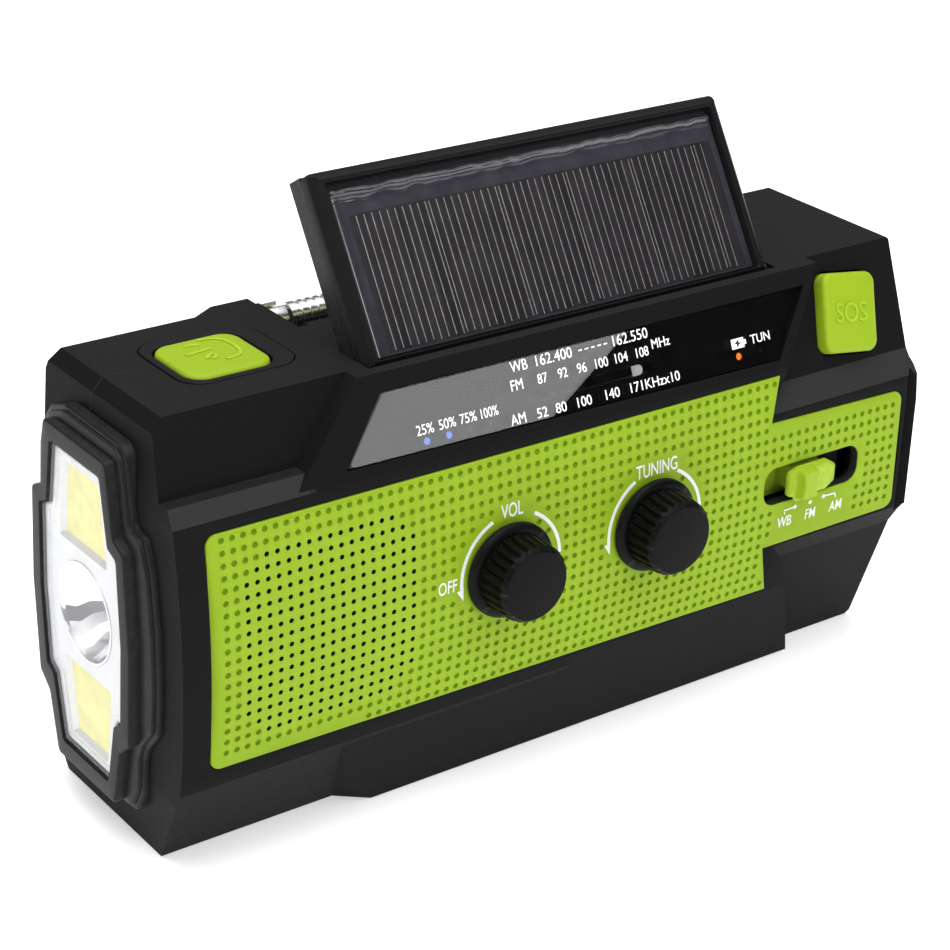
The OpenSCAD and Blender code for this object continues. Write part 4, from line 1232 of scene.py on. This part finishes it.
def wrange(out, a, b, c, d):
    r = wt.nodes.new("ShaderNodeMapRange")
    r.interpolation_type = "SMOOTHSTEP"
    for k_, v_ in (("From Min", a), ("From Max", b), ("To Min", c), ("To Max", d)):
        r.inputs[k_].default_value = v_
    wt.links.new(out, r.inputs["Value"])
    return r.outputs["Result"]


def wmath(op, a, b):
    m = wt.nodes.new("ShaderNodeMath")
    m.operation = op
    wt.links.new(a, m.inputs[0])
    wt.links.new(b, m.inputs[1])
    return m.outputs[0]


dome = wrange(sp.outputs["Z"], 0.50, 0.88, 0.0, 1.35)
rear = wmath("MULTIPLY", wrange(sp.outputs["Y"], 0.0, 0.6, 0.0, 0.26), wrange(sp.outputs["Z"], 0.05, 0.5, 1.0, 0.2))
left = wmath("MULTIPLY", wrange(sp.outputs["X"], -0.3, -0.9, 0.0, 0.26), wrange(sp.outputs["Z"], 0.05, 0.6, 1.0, 0.0))
total = wmath("ADD", wmath("ADD", dome, rear), left)
base_v = wt.nodes.new("ShaderNodeValue")
base_v.outputs[0].default_value = 0.04
total = wmath("ADD", total, base_v.outputs[0])
wt.links.new(total, wt.nodes["Background"].inputs["Strength"])
wt.nodes["Background"].inputs["Color"].default_value = (1, 1, 1, 1)
bpy.context.scene.view_settings.view_transform = "Standard"


def area(name, loc, target, size, power, sy=None):
    L = bpy.data.lights.new(name, "AREA")
    L.energy = power
    L.shape = "RECTANGLE"
    L.size = size
    L.size_y = sy or size
    o = bpy.data.objects.new(name, L)
    bpy.context.scene.collection.objects.link(o)
    o.location = loc
    o.rotation_mode = "QUATERNION"
    o.rotation_quaternion = (Vector(target) - Vector(loc)).to_track_quat("-Z", "Y")
    return o


area("key_top", (-0.20, -0.15, 0.95), (0, 0, 0.05), 0.6, 3.2)
area("fill_front", (-0.20, -1.15, 0.75), (0, 0, 0.05), 0.5, 3.0)
area("fill_left", (-1.0, -0.35, 0.5), (0, 0, 0.04), 0.4, 0.4)
area("fill_right", (0.62, -0.80, 0.80), (0.02, 0, 0.04), 0.4, 1.6).visible_glossy = False

area("fill_back", (0.25, 1.1, 0.75), (0, 0, 0.04), 0.5, 3.0).visible_glossy = False

# a pale card mirrored in the left part of the dial window
CAMP = Vector((-236.63, -312.07, 228.13))
w0, w1, w2 = Vector(on_dial(0, 0, 0.1)), Vector(on_dial(10, 0, 0.1)), Vector(on_dial(0, 10, 0.1))
wn = (w1 - w0).cross(w2 - w0).normalized()
virt = CAMP - wn * (2 * (CAMP - w0).dot(wn))
ctr = Vector(on_dial(3.5, 7, 0.1))
axis = (ctr - virt).normalized()
quad = [(18.1, 15.6), (-17.8, -5.0), (-75, -5), (-75, 15.6)]
cv = []
for qx, qy in quad:
    p = Vector(on_dial(qx, qy, 0.1))
    d = (p - virt).normalized()
    t = (420.0 + (ctr - virt).length) / d.dot(axis)
    cv.append(tuple((virt + d * t) * MM))
k = Net("mat_card")
k.set(Roughness=0.8)
n = k.noise(4, 1.0)
c = k.ramp(n, "Fac", 0.3, 0.7, rgb(0.95, 0.95, 0.95), rgb(1, 1, 1))
k.l(c, "Color", k.b, "Emission Color")
k.b.inputs["Emission Strength"].default_value = 3.2
card = stage_plane("card", cv, k.m)
card.visible_camera = False
card.visible_diffuse = False
card.visible_shadow = False

cam_d = bpy.data.cameras.new("camera")
cam = bpy.data.objects.new("camera", cam_d)
bpy.context.scene.collection.objects.link(cam)
az, el, ro = math.radians(-36.86), math.radians(25.46), math.radians(1.979)
back = Vector((math.sin(az) * math.cos(el), -math.cos(az) * math.cos(el), math.sin(el)))
right = Vector((math.cos(az), math.sin(az), 0.0))
up = back.cross(right)
r2 = right * math.cos(ro) + up * math.sin(ro)
u2 = up * math.cos(ro) - right * math.sin(ro)
cam.matrix_world = Matrix(((r2.x, u2.x, back.x, -0.23663), (r2.y, u2.y, back.y, -0.31207), (r2.z, u2.z, back.z, 0.22813), (0, 0, 0, 1)))
cam_d.sensor_width = 36.0
cam_d.lens = 2535.0 / 950.0 * 36.0
cam_d.clip_start, cam_d.clip_end = 0.01, 50
bpy.context.scene.camera = cam
